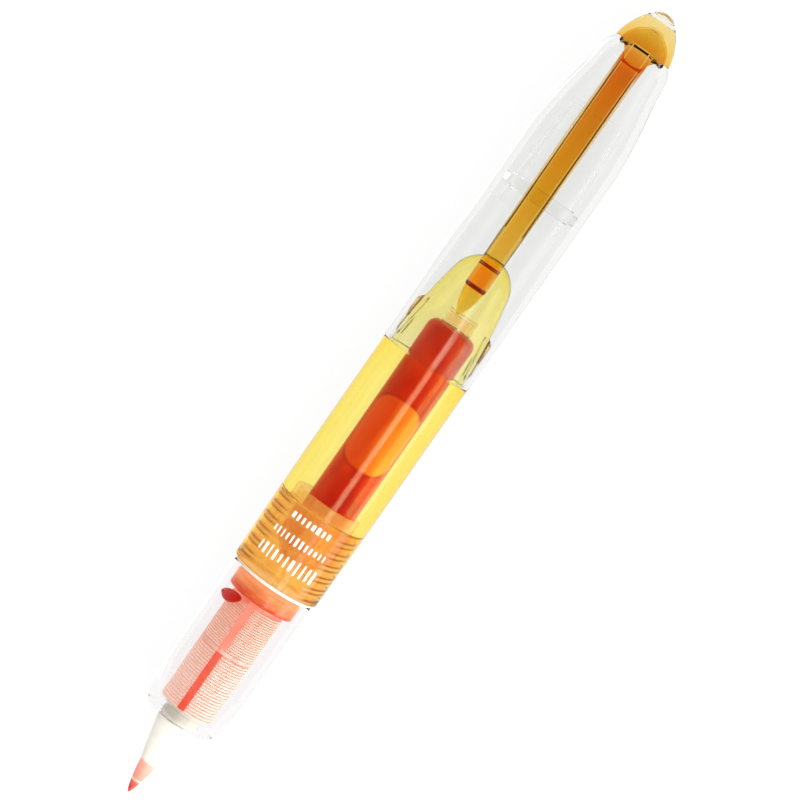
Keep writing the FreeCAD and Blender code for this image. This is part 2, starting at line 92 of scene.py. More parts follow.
class Socket:
    # wraps a node's output, so that maths on values adds its own nodes
    def __init__(self, tree, link):
        self.tree = tree
        self.link = link

    def maths(self, operation, *values):
        return node(self.tree, "ShaderNodeMath", {"operation": operation}, values)

    def __add__(self, other):
        return self.maths("ADD", self, other)

    def __radd__(self, other):
        return self.maths("ADD", other, self)

    def __sub__(self, other):
        return self.maths("SUBTRACT", self, other)

    def __rsub__(self, other):
        return self.maths("SUBTRACT", other, self)

    def __mul__(self, other):
        return self.maths("MULTIPLY", self, other)

    def __rmul__(self, other):
        return self.maths("MULTIPLY", other, self)

    def __truediv__(self, other):
        return self.maths("DIVIDE", self, other)

    def __pow__(self, other):
        return self.maths("POWER", self, other)

    def __abs__(self):
        return self.maths("ABSOLUTE", self)

    def atLeast(self, least):
        return self.maths("MAXIMUM", self, least)

    def clamped(self):
        return node(self.tree, "ShaderNodeClamp", {}, [self, 0.0, 1.0])


def node(tree, kind, settings=None, values=(), output=0):
    # settings go first, a ramp's stops among them; values are a list, or a dictionary by socket name
    made = tree.nodes.new(kind)
    for name, value in (settings or {}).items():
        if name == "stops":
            ramp = made.color_ramp
            while len(ramp.elements) < len(value):
                ramp.elements.new(0.5)
            for element, (at, colour) in zip(ramp.elements, value):
                element.position = at
                element.color = colour
        else:
            setattr(made, name, value)
    pairs = values.items() if isinstance(values, dict) else enumerate(values)
    for key, value in pairs:
        if isinstance(value, Socket):
            tree.links.new(value.link, made.inputs[key])
        elif value is not None:
            made.inputs[key].default_value = value
    return Socket(tree, made.outputs[output])


def newMaterial(name):
    material = bpy.data.materials.new(name)
    material.use_nodes = True
    tree = material.node_tree
    tree.nodes.clear()
    return material, tree


def place(tree):
    return node(tree, "ShaderNodeTexCoord", output="Object")


def split(tree, vector):
    parts = node(tree, "ShaderNodeSeparateXYZ", {}, [vector]).link.node.outputs
    return [Socket(tree, part) for part in parts]


def stations(tree):
    # station from the barrel's mouth, y, and height over the pen's axis, in mm
    x, y, z = split(tree, place(tree))
    return x / mm - mouthX / mm, y / mm, (z - axisZ) / mm


def noise(tree, scale, detail=3.0, roughness=0.5, stretch=(1, 1, 1)):
    # noise over Object coordinates in mm, stretched per axis
    vector = node(tree, "ShaderNodeMapping", {}, {
        "Vector": place(tree), "Scale": tuple(part / mm for part in stretch)})
    return node(tree, "ShaderNodeTexNoise", {}, {
        "Vector": vector, "Scale": scale, "Detail": detail, "Roughness": roughness})


def clouds(tree, scale, detail, roughness, stretch=(1, 1, 1), cut=0.4, gain=3.0):
    # noise sharpened into patches of 0 to 1
    return ((noise(tree, scale, detail, roughness, stretch) - cut) * gain).clamped()


def rising(value, start, length):
    # 0 before start and 1 from start + length on; a negative length falls the other way
    return ((value - start) / length).clamped()


def band(value, middle, fade, rise):
    # 1 near the middle, fading to 0 at rise times fade from it
    return (rise - abs(value - middle) / fade).clamped()


def bump(tree, height, strength, distance=0.02):
    return node(tree, "ShaderNodeBump", {}, {
        "Height": height, "Strength": strength, "Distance": distance * mm})


def mixed(tree, factor, a, b):
    # a colour between a and b, which the node takes at its sockets 6 and 7
    return node(tree, "ShaderNodeMix", {"data_type": "RGBA"}, {0: factor, 6: a, 7: b}, output=2)


def principled(tree, colour, roughness, ior=None, others=None):
    return node(tree, "ShaderNodeBsdfPrincipled", {}, {
        "Base Color": colour, "Roughness": roughness, "IOR": ior, **(others or {})})


def glow(colour, strength):
    # sockets of a painted glow: a finish that shines a little by itself, though no lamp lights it
    return {"Emission Color": colour, "Emission Strength": strength}


def surface(tree, shader, volume=None):
    out = tree.nodes.new("ShaderNodeOutputMaterial")
    tree.links.new(shader.link, out.inputs["Surface"])
    if volume:
        tree.links.new(volume.link, out.inputs["Volume"])


# finishes that several pieces share

clearLook = {
    "ior": 1.49,
    "roughness": 0.012,
    "scuffs": 0.03,           # how much rougher the scuffed spots are
    "ripple": 0.03,           # strength of the moulding's slow ripple
    "rippleDepth": 0.05,      # mm
}


def moulded(tree):
    # the roughness that scuffs add, and the normal of a slow moulding ripple
    scuffs = clouds(tree, 0.9, 6.0, 0.65, (0.25, 1, 1), 0.5, 2.4) * clearLook["scuffs"]
    ripple = noise(tree, 0.16, 1.0, 0.4, (0.5, 1, 1))
    return scuffs, bump(tree, ripple, clearLook["ripple"], clearLook["rippleDepth"])


def clearPlastic(name, tint, ior=clearLook["ior"], roughness=clearLook["roughness"]):
    # polished moulded plastic
    material, tree = newMaterial(name)
    scuffs, normal = moulded(tree)
    surface(tree, principled(tree, tint, scuffs + roughness, ior, {
        "Transmission Weight": 1.0, "Normal": normal}))
    return material


def plainMaterial(name, colour, dark, roughness, grain=0.6, bumpStrength=0.1, paintedGlow=0.0):
    # solid plastic, rubber or fibre with a little uneven colour and grain, and a painted glow where one is
    # asked for
    material, tree = newMaterial(name)
    patch = clouds(tree, grain, 4.0, 0.6, gain=2.5)
    shade = mixed(tree, patch, dark, colour)
    surface(tree, principled(tree, shade, patch * 0.12 + roughness, None, {
        **glow(shade, paintedGlow), "Normal": bump(tree, noise(tree, grain * 6, 2.0), bumpStrength)}))
    return material


# the inks' glow is a painted glow that lifts them behind the clear walls
inkLook = {
    "ior": 1.36, "roughness": 0.2, "specular": 0.2, "glow": 0.6,
    "clouds": (0.22, 2.0, 0.5, (0.35, 1, 1), 0.42),
}


def inkMaterial(name, bright, deep):
    # ink behind clear plastic: a red with a painted glow, which darkens in slow clouds
    material, tree = newMaterial(name)
    colour = mixed(tree, clouds(tree, *inkLook["clouds"]), deep, bright)
    surface(tree, principled(tree, colour, inkLook["roughness"], inkLook["ior"], {
        **glow(colour, inkLook["glow"]), "Specular IOR Level": inkLook["specular"]}))
    return material


# the cap's grey tint is painted shade, standing in for the grey that reflections in its walls give
clearCap = clearPlastic("clearCap", (0.91, 0.915, 0.905, 1), 1.16)
clearGrip = clearPlastic("clearGrip", (0.965, 0.945, 0.945, 1), 1.12)
gripEnd = clearPlastic("gripEnd", (0.965, 0.95, 0.95, 1), 1.035, 0.04)
clearInner = clearPlastic("clearInner", (0.99, 0.985, 0.975, 1), 1.25)
clearCup = clearPlastic("clearCup", (0.99, 0.99, 0.985, 1), 1.06)
clearRing = clearPlastic("clearRing", (0.94, 0.94, 0.93, 1), 1.22)
clearNose = clearPlastic("clearNose", (0.95, 0.89, 0.76, 1), 1.25)
bossPink = clearPlastic("bossPink", (0.99, 0.86, 0.78, 1), 1.2)
# painted light and shade for the clip: a pale finish for the arm's sides and a nearly black one for the foot's
# ends
amberFringeLight = clearPlastic("amberFringeLight", (0.90, 0.76, 0.42, 1), 1.2)
amberEndShade = clearPlastic("amberEndShade", (0.07, 0.0006, 0.0002, 1), roughness=0.06)

# ivory, wickRed and printWhite get a little painted glow, though no lamp is in them
ivory = plainMaterial("ivory", (0.82, 0.79, 0.70, 1), (0.77, 0.73, 0.63, 1), 0.35, paintedGlow=0.04)
wickRed = plainMaterial("wickRed", (0.72, 0.06, 0.03, 1), (0.55, 0.03, 0.015, 1), 0.6, paintedGlow=0.2)
sealPale = plainMaterial("sealPale", (0.9, 0.78, 0.70, 1), (0.84, 0.70, 0.62, 1), 0.5)
ballYellow = plainMaterial("ballYellow", (0.9, 0.75, 0.35, 1), (0.85, 0.66, 0.28, 1), 0.25)
printWhite = plainMaterial("printWhite", (0.95, 0.94, 0.92, 1), (0.88, 0.86, 0.82, 1), 0.4, paintedGlow=0.1)

inkChannel = inkMaterial("inkChannel", (0.70, 0.13, 0.08, 1), (0.62, 0.06, 0.03, 1))
inkFilm = inkMaterial("inkFilm", (0.82, 0.34, 0.25, 1), (0.72, 0.16, 0.10, 1))
inkDrop = inkMaterial("inkDrop", (0.60, 0.020, 0.004, 1), (0.42, 0.008, 0.002, 1))

finishes = {
    "section_seal": sealPale, "nib_holder": ivory, "brush_sleeve": sealPale,
    "ink_wick": wickRed, "ink_spike": clearInner, "seal_ball": ballYellow,
}
for nodeName, finish in finishes.items():
    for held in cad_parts[nodeName].material_slots:
        held.material = finish
print("materials given to", len(finishes), "nodes")


# meshes turned about the pen's axis, with stations and radii in mm

def arcPoints(start, end, radius, step):
    # points from start up to end; a negative radius bows the other way
    start, end = Vector(start), Vector(end)
    chord = end - start
    reach = math.sqrt(max(radius * radius - chord.length_squared / 4, 0))
    left = Vector((-chord.y, chord.x)).normalized()
    centre = (start + end) / 2 + left * math.copysign(reach, radius)
    first, last = start - centre, end - centre
    turn = math.atan2(first.x * last.y - first.y * last.x, first.dot(last))
    count = max(2, math.ceil(abs(turn) * abs(radius) / step))
    points = []
    for index in range(count):
        angle = turn * index / count
        c, s = math.cos(angle), math.sin(angle)
        points.append(centre + Vector((first.x * c - first.y * s, first.x * s + first.y * c)))
    return points


def softOutline(corners, radius=0.15, step=0.5, pieces=3):
    # corners are (station, radius) or (station, radius, arc to the next)
    # sharp ones off the axis are rounded
    runs = []
    count = len(corners)
    for index, corner in enumerate(corners):
        start, end = corner[:2], corners[(index + 1) % count][:2]
        if len(corner) > 2:
            runs.append(arcPoints(start, end, corner[2], step) + [Vector(end)])
        else:
            runs.append([Vector(start), Vector(end)])
    lengths = [sum((b - a).length for a, b in zip(run, run[1:])) for run in runs]
    points = []
    for index in range(count):
        before, after = runs[index - 1], runs[index]
        corner = after[0]
        bend = (before[-1] - before[-2]).angle(after[1] - after[0], 0)
        cut = 0.0
        if bend > 0.25 and corner.y > 0:
            cut = min(radius * math.tan(bend / 2), 0.4 * lengths[index - 1], 0.4 * lengths[index])
        if cut > 0:
            back = corner + (before[-2] - before[-1]).normalized() * cut
            ahead = corner + (after[1] - after[0]).normalized() * cut
            for part in range(pieces + 1):
                t = part / pieces
                points.append(back * (1 - t) ** 2 + corner * (2 * t * (1 - t)) + ahead * t ** 2)
        else:
            points.append(corner)
        points += [point for point in after[1:-1]
                   if (point - corner).length > cut and (point - after[-1]).length > radius]
    # long straight walls get a row close to each end, which keeps their shading flat
    kept = []
    for point, other in zip(points, points[1:] + points[:1]):
        kept.append(point)
        span = other - point
        if span.length > 0.6:
            kept += [point + span.normalized() * 0.04, other - span.normalized() * 0.04]
    return kept


def newObject(name, mesh, finish):
    made = bpy.data.objects.new(name, mesh)
    bpy.context.scene.collection.objects.link(made)
    mesh.materials.clear()
    mesh.materials.append(finish)
    return made


def closeMesh(shape, name, finish, smooth=40):
    # welds the poles, turns the faces outwards and shades all but the sharp edges smooth
    bmesh.ops.remove_doubles(shape, verts=shape.verts, dist=1e-7)
    bmesh.ops.recalc_face_normals(shape, faces=shape.faces)
    sharp = math.radians(smooth)
    for face in shape.faces:
        face.smooth = True
    for edge in shape.edges:
        edge.smooth = len(edge.link_faces) == 2 and edge.calc_face_angle(0) < sharp
    mesh = bpy.data.meshes.new(name)
    shape.to_mesh(mesh)
    shape.free()
    return newObject(name, mesh, finish)


def turnedPiece(name, points, finish, segments=160, offsetY=0.0, waves=None):
    # points run round the closed section; waves(station, radius, angle) gives the radius where it varies
    shape = bmesh.new()
    rings = []
    for x, r in points:
        ring = []
        for index in range(segments if r > 1e-6 else 1):
            angle = 2 * math.pi * index / segments
            reach = waves(x, r, angle) if waves and r > 1e-6 else r
            ring.append(shape.verts.new((
                mouthX + x * mm,
                (offsetY + reach * math.cos(angle)) * mm,
                axisZ + reach * math.sin(angle) * mm)))
        rings.append(ring)
    for index, ring in enumerate(rings):
        other = rings[(index + 1) % len(rings)]
        if len(ring) == 1 and len(other) == 1:
            continue
        for side in range(segments):
            corners = [ring[side % len(ring)], ring[(side + 1) % len(ring)],
                       other[(side + 1) % len(other)], other[side % len(other)]]
            kept = list(dict.fromkeys(corners))
            if len(kept) > 2:
                shape.faces.new(kept)
    return closeMesh(shape, name, finish)


# the thread that barrel and connector share

thread = {
    "start": 1.2,            # mm
    "turns": 5.0,
    "pitch": 1.93,
    "depth": 0.36,
    "root": 0.95,
    "crest": 0.4,
    "runOut": 0.5,           # length over which the thread fades out at its ends
    "rowStep": 0.08,
}


def threadDepth(x, angle, openMouth=False):
    # how far the groove or ridge stands from the plain wall, 0 to 1
    # an open groove runs out of the mouth
    turn = (x - thread["start"]) / thread["pitch"] - angle / (2 * math.pi)
    along = abs(turn - round(turn)) * thread["pitch"]
    flank = (thread["root"] - thread["crest"]) / 2
    full = min(max((thread["root"] / 2 - along) / flank, 0), 1)
    last = thread["start"] + thread["turns"] * thread["pitch"]
    ends = min(max((last - x) / thread["runOut"] + 1, 0), 1)
    if not openMouth:
        ends *= min(max((x - thread["start"]) / thread["runOut"] + 1, 0), 1)
    return full * ends


def paintFaces(piece, finish, low, high):
    # gives a finish to the faces between two stations
    piece.data.materials.append(finish)
    for face in piece.data.polygons:
        if low < (face.center.x - mouthX) / mm < high:
            face.material_index = len(piece.data.materials) - 1


def threadRows(x0, x1, r):
    count = math.ceil(abs(x1 - x0) / thread["rowStep"])
    return [(x0 + (x1 - x0) * index / count, r) for index in range(1, count)]


# barrel: closed tail, thread inside the mouth, two low ribs on the tail

barrel = {
    "mouthRadius": 6.8, "radius": 6.95, "swell": 14.0, "shoulder": 37.0, "shoulderLength": 0.25,
    "tailRadius": 6.0, "tailTurn": 50.1, "tailTurnRadius": 4.53, "tailArc": 71.0,
    "apex": 54.4, "apexArc": 4.75,
    "threadRadius": 5.33, "threadEnd": 11.3, "bore": 5.7, "boreTaper": 31.0,
    "boreTurn": 49.65, "boreTurnRadius": 3.63, "boreArc": 104.0, "innerApex": 53.3, "innerArc": 3.9,
    "ribs": 2, "ribFrom": 38.5, "ribTo": 44.5, "ribRise": 0.27, "ribWidth": 0.9, "ribRunOut": 0.4,
}
amberLook = {
    "tint": (1, 0.99, 0.93, 1), "ior": 1.25,
    "absorb": (0.006, 0.055, 0.50),         # red, green and blue lost per mm
    "faint": (0.99, 0.90, 0.74, 1), "faintIor": 1.03, "faintRoughness": 0.12,
    # the crescent colour is painted shade, which the thread's flanks show only where they are seen edge-on
    "crescent": (0.34, 0.14, 0.03, 1), "crescentFrom": 3.4, "crescentFade": 1.2, "crescentWidth": 0.14,
}


def barrelMaterial():
    # clear amber; its thread shows as brown crescents at the sides, painted shade for the flanks seen edge-on
    # there, and its steps only faintly
    look = amberLook
    material, tree = newMaterial("amberBarrel")
    along, across, up = stations(tree)
    reach = (across * across + up * up) ** 0.5
    inBore = rising(reach, barrel["bore"] - 0.005, -0.001) * rising(along, barrel["threadEnd"], -0.05)
    turn = (along - thread["start"]) / thread["pitch"] - up.maths("ARCTAN2", up, across) / (2 * math.pi)
    away = abs(turn - turn.maths("ROUND", turn)) * thread["pitch"]
    # painted shade: the flanks turn brown only towards the pen's sides
    flank = band(away, (thread["root"] + thread["crest"]) / 4, look["crescentWidth"], 1.8) * inBore
    flank = flank * rising(abs(across), look["crescentFrom"], look["crescentFade"])
    scuffs, normal = moulded(tree)
    wall = principled(tree, look["tint"], scuffs + clearLook["roughness"], look["ior"], {
        "Transmission Weight": 1.0, "Normal": normal})
    threaded = principled(
        tree, mixed(tree, flank, look["faint"], look["crescent"]), scuffs + look["faintRoughness"],
        look["faintIor"], {"Transmission Weight": 1.0})
    most = max(look["absorb"])
    volume = node(tree, "ShaderNodeVolumeAbsorption", {}, {
        "Color": tuple(1 - part / most for part in look["absorb"]) + (1,), "Density": most / mm})
    surface(tree, node(tree, "ShaderNodeMixShader", {}, [inBore, wall, threaded]), volume)
    return material


def makeBarrel():
    b = barrel
    outline = softOutline([
        (0, b["threadRadius"]), (0, b["mouthRadius"]), (b["swell"], b["radius"]), (b["shoulder"], b["radius"]),
        (b["shoulder"] + b["shoulderLength"], b["tailRadius"], -b["tailArc"]),
        (b["tailTurn"], b["tailTurnRadius"], -b["apexArc"]), (b["apex"], 0),
        (b["innerApex"], 0, b["innerArc"]), (b["boreTurn"], b["boreTurnRadius"], b["boreArc"]),
        (b["boreTaper"], b["bore"]), (b["threadEnd"] + 0.3, b["bore"]),
        (b["threadEnd"], b["threadRadius"])], 0.2)
    # the threaded wall closes the loop, from the bore back to the mouth
    outline += threadRows(outline[-1].x, 0.25, b["threadRadius"])
    ribStep = 2 * math.pi / b["ribs"]

    def waves(x, r, angle):
        if r < b["bore"] - 0.05 and x < b["threadEnd"]:
            return max(r, b["threadRadius"] + thread["depth"] * threadDepth(x, angle, True))
        if b["ribFrom"] <= x <= b["ribTo"] and r > 5:
            turn = angle / ribStep
            aside = abs(turn - round(turn)) * ribStep * r
            ends = min(min(x - b["ribFrom"], b["ribTo"] - x) / b["ribRunOut"], 1)
            rise = max(0, b["tailRadius"] + b["ribRise"] - r)
            return r + rise * ends * max(0, math.cos(min(aside / b["ribWidth"], 1) * math.pi / 2)) ** 2
        return r
    made = turnedPiece("barrelBody", outline, barrelMaterial(), 192, waves=waves)
    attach(made, "barrel")
    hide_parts("barrel_shell")


makeBarrel()


# the threaded connector and the clear grip

connector = {
    "plugFront": -1.35, "plugRadius": 5.38, "spikeHole": 2.19, "floor": 0.5,
    "flange": -0.55, "spigot": 5.25, "threadFrom": 0.5, "threadTo": 12.0, "bore": 4.62, "end": 13.3,
    "dark": (0.88, 0.50, 0.24, 1), "light": (0.96, 0.74, 0.48, 1),
    "roughness": 0.35, "ior": 1.2, "alpha": 0.22, "alphaRise": 0.14, "glow": 0.3,
}


def connectorMaterial():
    # milky gold plastic that the cartridge shows through dimly, in streaks along the pen, with a painted glow
    c = connector
    material, tree = newMaterial("connectorGold")
    streak = clouds(tree, 1.4, 3.0, 0.6, (0.12, 1, 1))
    colour = mixed(tree, streak, c["dark"], c["light"])
    surface(tree, principled(tree, colour, c["roughness"], c["ior"], {
        "Alpha": streak * c["alphaRise"] + c["alpha"], **glow(colour, c["glow"])}))
    return material


def makeConnector():
    c = connector
    floorAt = c["plugFront"] + c["floor"]
    outline = softOutline([
        (c["plugFront"], c["spikeHole"]), (c["plugFront"], c["plugRadius"]), (c["flange"], c["plugRadius"]),
        (c["flange"], c["spigot"]), (c["threadFrom"], c["spigot"]), (c["threadTo"], c["spigot"]),
        (c["end"], c["spigot"]), (c["end"], c["bore"]), (floorAt, c["bore"]), (floorAt, c["spikeHole"])], 0.12)
    cut = next(index for index, point in enumerate(outline) if abs(point.x - c["threadTo"]) < 1e-4)
    outline[cut:cut] = threadRows(c["threadFrom"], c["threadTo"], c["spigot"])

    def waves(x, r, angle):
        if c["threadFrom"] < x < c["threadTo"] and abs(r - c["spigot"]) < 1e-4:
            return r + thread["depth"] * threadDepth(x, angle)
        return r
    made = turnedPiece("connectorBody", outline, connectorMaterial(), 192, waves=waves)
    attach(made, "front")
    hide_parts("section_connector")


grip = {
    "front": -24.2, "hole": 2.84, "rim": 5.4, "curve": 6.7, "curveArc": 22.0, "radius": 6.38,
    "rear": -0.55, "bore": 5.42, "frontWall": 1.5, "rimRounding": 0.6,
    "endLength": 1.2,                       # how far behind the front wall the end's finish reaches
}


def makeGrip():
    g = grip
    wall, curveEnd = g["front"] + g["frontWall"], g["front"] + g["curve"]
    outline = softOutline([
        (g["front"], g["hole"]), (g["front"], g["rim"] - 0.1, -g["curveArc"]), (curveEnd, g["radius"]),
        (g["rear"], g["radius"]), (g["rear"], g["bore"]), (curveEnd, g["bore"]),
        (wall, g["rim"] - 1.0), (wall, g["hole"])], g["rimRounding"], 0.4, 5)
    made = turnedPiece("gripBody", outline, clearGrip, 160)
    paintFaces(made, gripEnd, g["front"] - 1, wall + g["endLength"])
    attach(made, "front")
    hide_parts("grip_section")


makeConnector()
makeGrip()
print("barrel, connector and grip made")


# cartridge with its ink

cartridge = {
    "start": 1.0, "mouth": 1.75, "neck": 2.6, "neckEnd": 4.5, "shoulder": 1.6, "radius": 3.75,
    "rearTurn": 42.0, "rearArc": 1.3, "rear": 43.2, "rearDrop": 1.1, "boss": 2.3, "bossEnd": 45.5, "wall": 0.45,
    "inkNeck": 3.45, "inkFrom": 6.3, "inkTo": 41.9, "inkEnd": 42.74, "inkPress": 0.02,
}
bubble = {
    "from": 22.9, "to": 27.9,               # its sides run straight between these stations
    "side": -0.72, "half": 3.35, "rim": 0.3,
    "lightFall": -0.30, "light": 0.24,      # painted light: the air is lighter towards the lamps' side
    "inkDark": (0.46, 0.006, 0.002, 1), "inkLight": (0.72, 0.04, 0.006, 1),
    "airDark": (0.66, 0.055, 0.010, 1), "airLight": (0.98, 0.34, 0.03, 1),
    "rimColour": (0.30, 0.01, 0.002, 1), "roughness": 0.12, "specular": 0.3, "glow": 0.55,
}


def cartridgeInkMaterial():
    # the ink is paler over its long air bubble, which has a thin dark rim; the air has painted light towards
    # the lamps, and the ink a painted glow
    b = bubble
    material, tree = newMaterial("inkCartridge")
    along, across, up = stations(tree)
    over = (along - b["to"]).atLeast(0.0) + (b["from"] - along).atLeast(0.0)
    across = across - b["side"]
    off = (over ** 3 + abs(across) ** 3) ** (1 / 3)
    above = rising(up, 0, 1.25)
    inside = rising(off, b["half"], -b["rim"]) * above
    near = band(off, b["half"], b["rim"], 1) * above
    cloud = clouds(tree, *inkLook["clouds"])
    body = mixed(tree, cloud, b["inkDark"], b["inkLight"])
    # painted light on the lamps' side of the air
    light = (across * b["lightFall"] + b["light"] + (cloud - 0.5) * 0.7).clamped()
    air = mixed(tree, light, b["airDark"], b["airLight"])
    colour = mixed(tree, near * 0.5, mixed(tree, inside, body, air), b["rimColour"])
    surface(tree, principled(tree, colour, b["roughness"], inkLook["ior"], {
        **glow(colour, b["glow"]), "Specular IOR Level": b["specular"]}))
    return material


def makeCartridge():
    c = cartridge
    inside = c["radius"] - c["wall"]
    bossInside, bossFloor = c["boss"] - c["wall"], c["bossEnd"] - c["wall"]
    y = cartridgeY / mm
    shell = turnedPiece("cartridgeBody", softOutline([
        (c["start"], c["mouth"]), (c["start"], c["neck"]), (c["neckEnd"], c["neck"]),
        (c["neckEnd"] + c["shoulder"], c["radius"]), (c["rearTurn"], c["radius"], -c["rearArc"]),
        (c["rear"], c["radius"] - c["rearDrop"]), (c["rear"], c["boss"]), (c["bossEnd"], c["boss"]),
        (c["bossEnd"], 0), (bossFloor, 0), (bossFloor, bossInside), (c["rear"] - c["wall"], bossInside),
        (c["inkTo"], inside), (c["inkFrom"], inside), (c["neckEnd"], c["mouth"])], 0.2), clearInner, 144, y)
    paintFaces(shell, bossPink, c["rear"] + 0.2, c["bossEnd"] + 1)
    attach(shell, "cartridge")
    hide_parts("cartridge_shell")
    reach, neck = inside + c["inkPress"], c["mouth"] + c["inkPress"]
    fill = turnedPiece("inkBody", softOutline([
        (c["inkNeck"], 0), (c["inkNeck"], neck), (c["neckEnd"], neck), (c["inkFrom"], reach),
        (c["inkTo"], reach, -1.0), (c["inkEnd"], reach * 0.76), (c["inkEnd"], 0)], 0.3),
        cartridgeInkMaterial(), 144, y)
    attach(fill, "cartridge")
    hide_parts("cartridge_ink")


# the ink behind the collector, with the channel through the comb and a drop beside it

reserve = {
    "from": -3.7, "to": -1.4, "radius": 5.15,
    "channelFrom": -22.1, "channelTo": -3.7, "channelWidth": 1.04, "channelSide": 0.55,
    "channelLow": 2.85, "channelTop": 4.1, "channelSink": 0.4,
    "dropAt": -5.0, "dropLength": 0.95, "dropSlant": 0.45, "dropDepth": 0.6, "dropWidth": 2.1,
    "dropRadius": 4.8, "dropAngle": 40.0, "dropWaist": 0.25,
    "deep": (0.62, 0.05, 0.008, 1), "thin": (0.84, 0.30, 0.10, 1), "streak": (0.88, 0.32, 0.10, 1),
    "thinFrom": -3.75, "thinLength": 2.2, "roughness": 0.3, "glow": 0.45,
}
# the comb's sizes, which the channel follows
collector = {
    "front": -22.12, "core": 2.9, "radius": 4.15, "bore": 0.79, "rear": -3.75,
    "collarFrom": -12.35, "collarTo": -11.75, "slot": 1.1, "slotTurn": 0.133,
    "frontPitch": 0.44, "frontThickness": 0.24, "frontCount": 22,
    "rearPitch": 0.36, "rearThickness": 0.2, "rearCount": 20,
    "pale": (0.90, 0.66, 0.56, 1), "soaked": (0.84, 0.43, 0.29, 1), "collarRed": (0.74, 0.20, 0.12, 1),
    "stain": (0.94, 0.74, 0.64, 1), "soakedFrom": -18, "soakedLength": 15,
    "roughness": 0.3, "ior": 1.49, "glow": 0.22,
}


def reserveMaterial():
    # the ink behind the collector thins towards the seal, runs in streaks round the pen and has a painted glow
    r = reserve
    material, tree = newMaterial("inkReserve")
    along = stations(tree)[0]
    streak = clouds(tree, 1.3, 4.0, 0.6, (1.0, 0.25, 0.25), 0.42)
    depth = ((along - r["thinFrom"]) / r["thinLength"] + (streak - 0.5) * 0.5).clamped()
    colour = mixed(tree, streak * 0.3, mixed(tree, depth, r["deep"], r["thin"]), r["streak"])
    surface(tree, principled(tree, colour, r["roughness"], inkLook["ior"], glow(colour, r["glow"])))
    return material


def addBox(shape, low, high):
    low, high = Vector(low), Vector(high)
    for vert in bmesh.ops.create_cube(shape, size=1)["verts"]:
        vert.co = Vector((low[i] + (high[i] - low[i]) * (vert.co[i] + 0.5) for i in range(3)))


def makeReserve():
    r = reserve
    inkReserve = reserveMaterial()
    disc = turnedPiece("reserveBody", softOutline([
        (r["from"], 0), (r["from"], r["radius"]), (r["to"], r["radius"]), (r["to"], 0)], 0.25), inkReserve, 144)
    shape = bmesh.new()
    shape.from_mesh(disc.data)
    half, side = r["channelWidth"] / 2 * mm, r["channelSide"] * mm
    runs = [(r["channelFrom"], collector["collarFrom"]),
            (collector["collarFrom"] + 0.01, r["channelTo"] + r["channelSink"])]
    for start, end in runs:
        addBox(shape, (mouthX + start * mm, side - half, axisZ + r["channelLow"] * mm),
               (mouthX + end * mm, side + half, axisZ + r["channelTop"] * mm))
    angle = math.radians(r["dropAngle"])
    turn = Matrix.Rotation(angle, 3, "X")
    centre = Vector((mouthX + r["dropAt"] * mm, r["dropRadius"] * math.cos(angle) * mm,
                     axisZ + r["dropRadius"] * math.sin(angle) * mm))
    for vert in bmesh.ops.create_uvsphere(shape, u_segments=40, v_segments=24, radius=1.0)["verts"]:
        x, y, z = vert.co
        waist = 1 + r["dropWaist"] * x                     # fatter towards the disc
        vert.co = centre + turn @ Vector((
            x * r["dropLength"] + z * r["dropSlant"], y * r["dropDepth"], z * r["dropWidth"] * waist)) * mm
    bpy.data.objects.remove(disc)
    made = closeMesh(shape, "reserveBody", inkReserve)
    for finish in (inkChannel, inkFilm, inkDrop):
        made.data.materials.append(finish)
    for face in made.data.polygons:
        x, y = (face.center.x - mouthX) / mm, face.center.y / mm
        if x < r["from"] - 0.05:
            face.material_index = 3 if y > 2 else 1 if x < collector["collarFrom"] + 0.005 else 2
    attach(made, "front")
    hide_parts("reserve_ink")


makeCartridge()
makeReserve()
print("cartridge and inks made")


# collector: finned comb, its fins set out by geometry nodes

class Tree:
    # a geometry nodes group whose modifier's inputs are set by name
    def __init__(self, name, inputs):
        self.tree = bpy.data.node_groups.new(name, "GeometryNodeTree")
        self.tree.interface.new_socket("Geometry", in_out="OUTPUT", socket_type="NodeSocketGeometry")
        self.values = inputs
        for label, value in inputs.items():
            kind = {int: "NodeSocketInt", float: "NodeSocketFloat"}.get(type(value), "NodeSocketMaterial")
            self.tree.interface.new_socket(label, in_out="INPUT", socket_type=kind)
        self.source = self.tree.nodes.new("NodeGroupInput")

    def given(self, label):
        return Socket(self.tree, self.source.outputs[label])

    def node(self, kind, settings=None, values=(), output=0):
        return node(self.tree, kind, settings, values, output)

    def finished(self, geometry):
        whole = self.node("GeometryNodeRealizeInstances", {}, [geometry])
        painted = self.node("GeometryNodeSetMaterial", {}, {
            "Geometry": whole, "Material": self.given("Finish")})
        out = self.tree.nodes.new("NodeGroupOutput")
        self.tree.links.new(painted.link, out.inputs[0])

    def mesh(self, name):
        # runs the group once on an empty object and returns the plain mesh
        holder = bpy.data.objects.new(name, bpy.data.meshes.new(name))
        bpy.context.scene.collection.objects.link(holder)
        modifier = holder.modifiers.new("nodes", "NODES")
        modifier.node_group = self.tree
        for item in self.tree.interface.items_tree:
            if item.in_out == "INPUT":
                modifier[item.identifier] = self.values[item.name]
        bpy.context.view_layer.update()
        graph = bpy.context.evaluated_depsgraph_get()
        mesh = bpy.data.meshes.new_from_object(holder.evaluated_get(graph))
        bpy.data.objects.remove(holder)
        return mesh


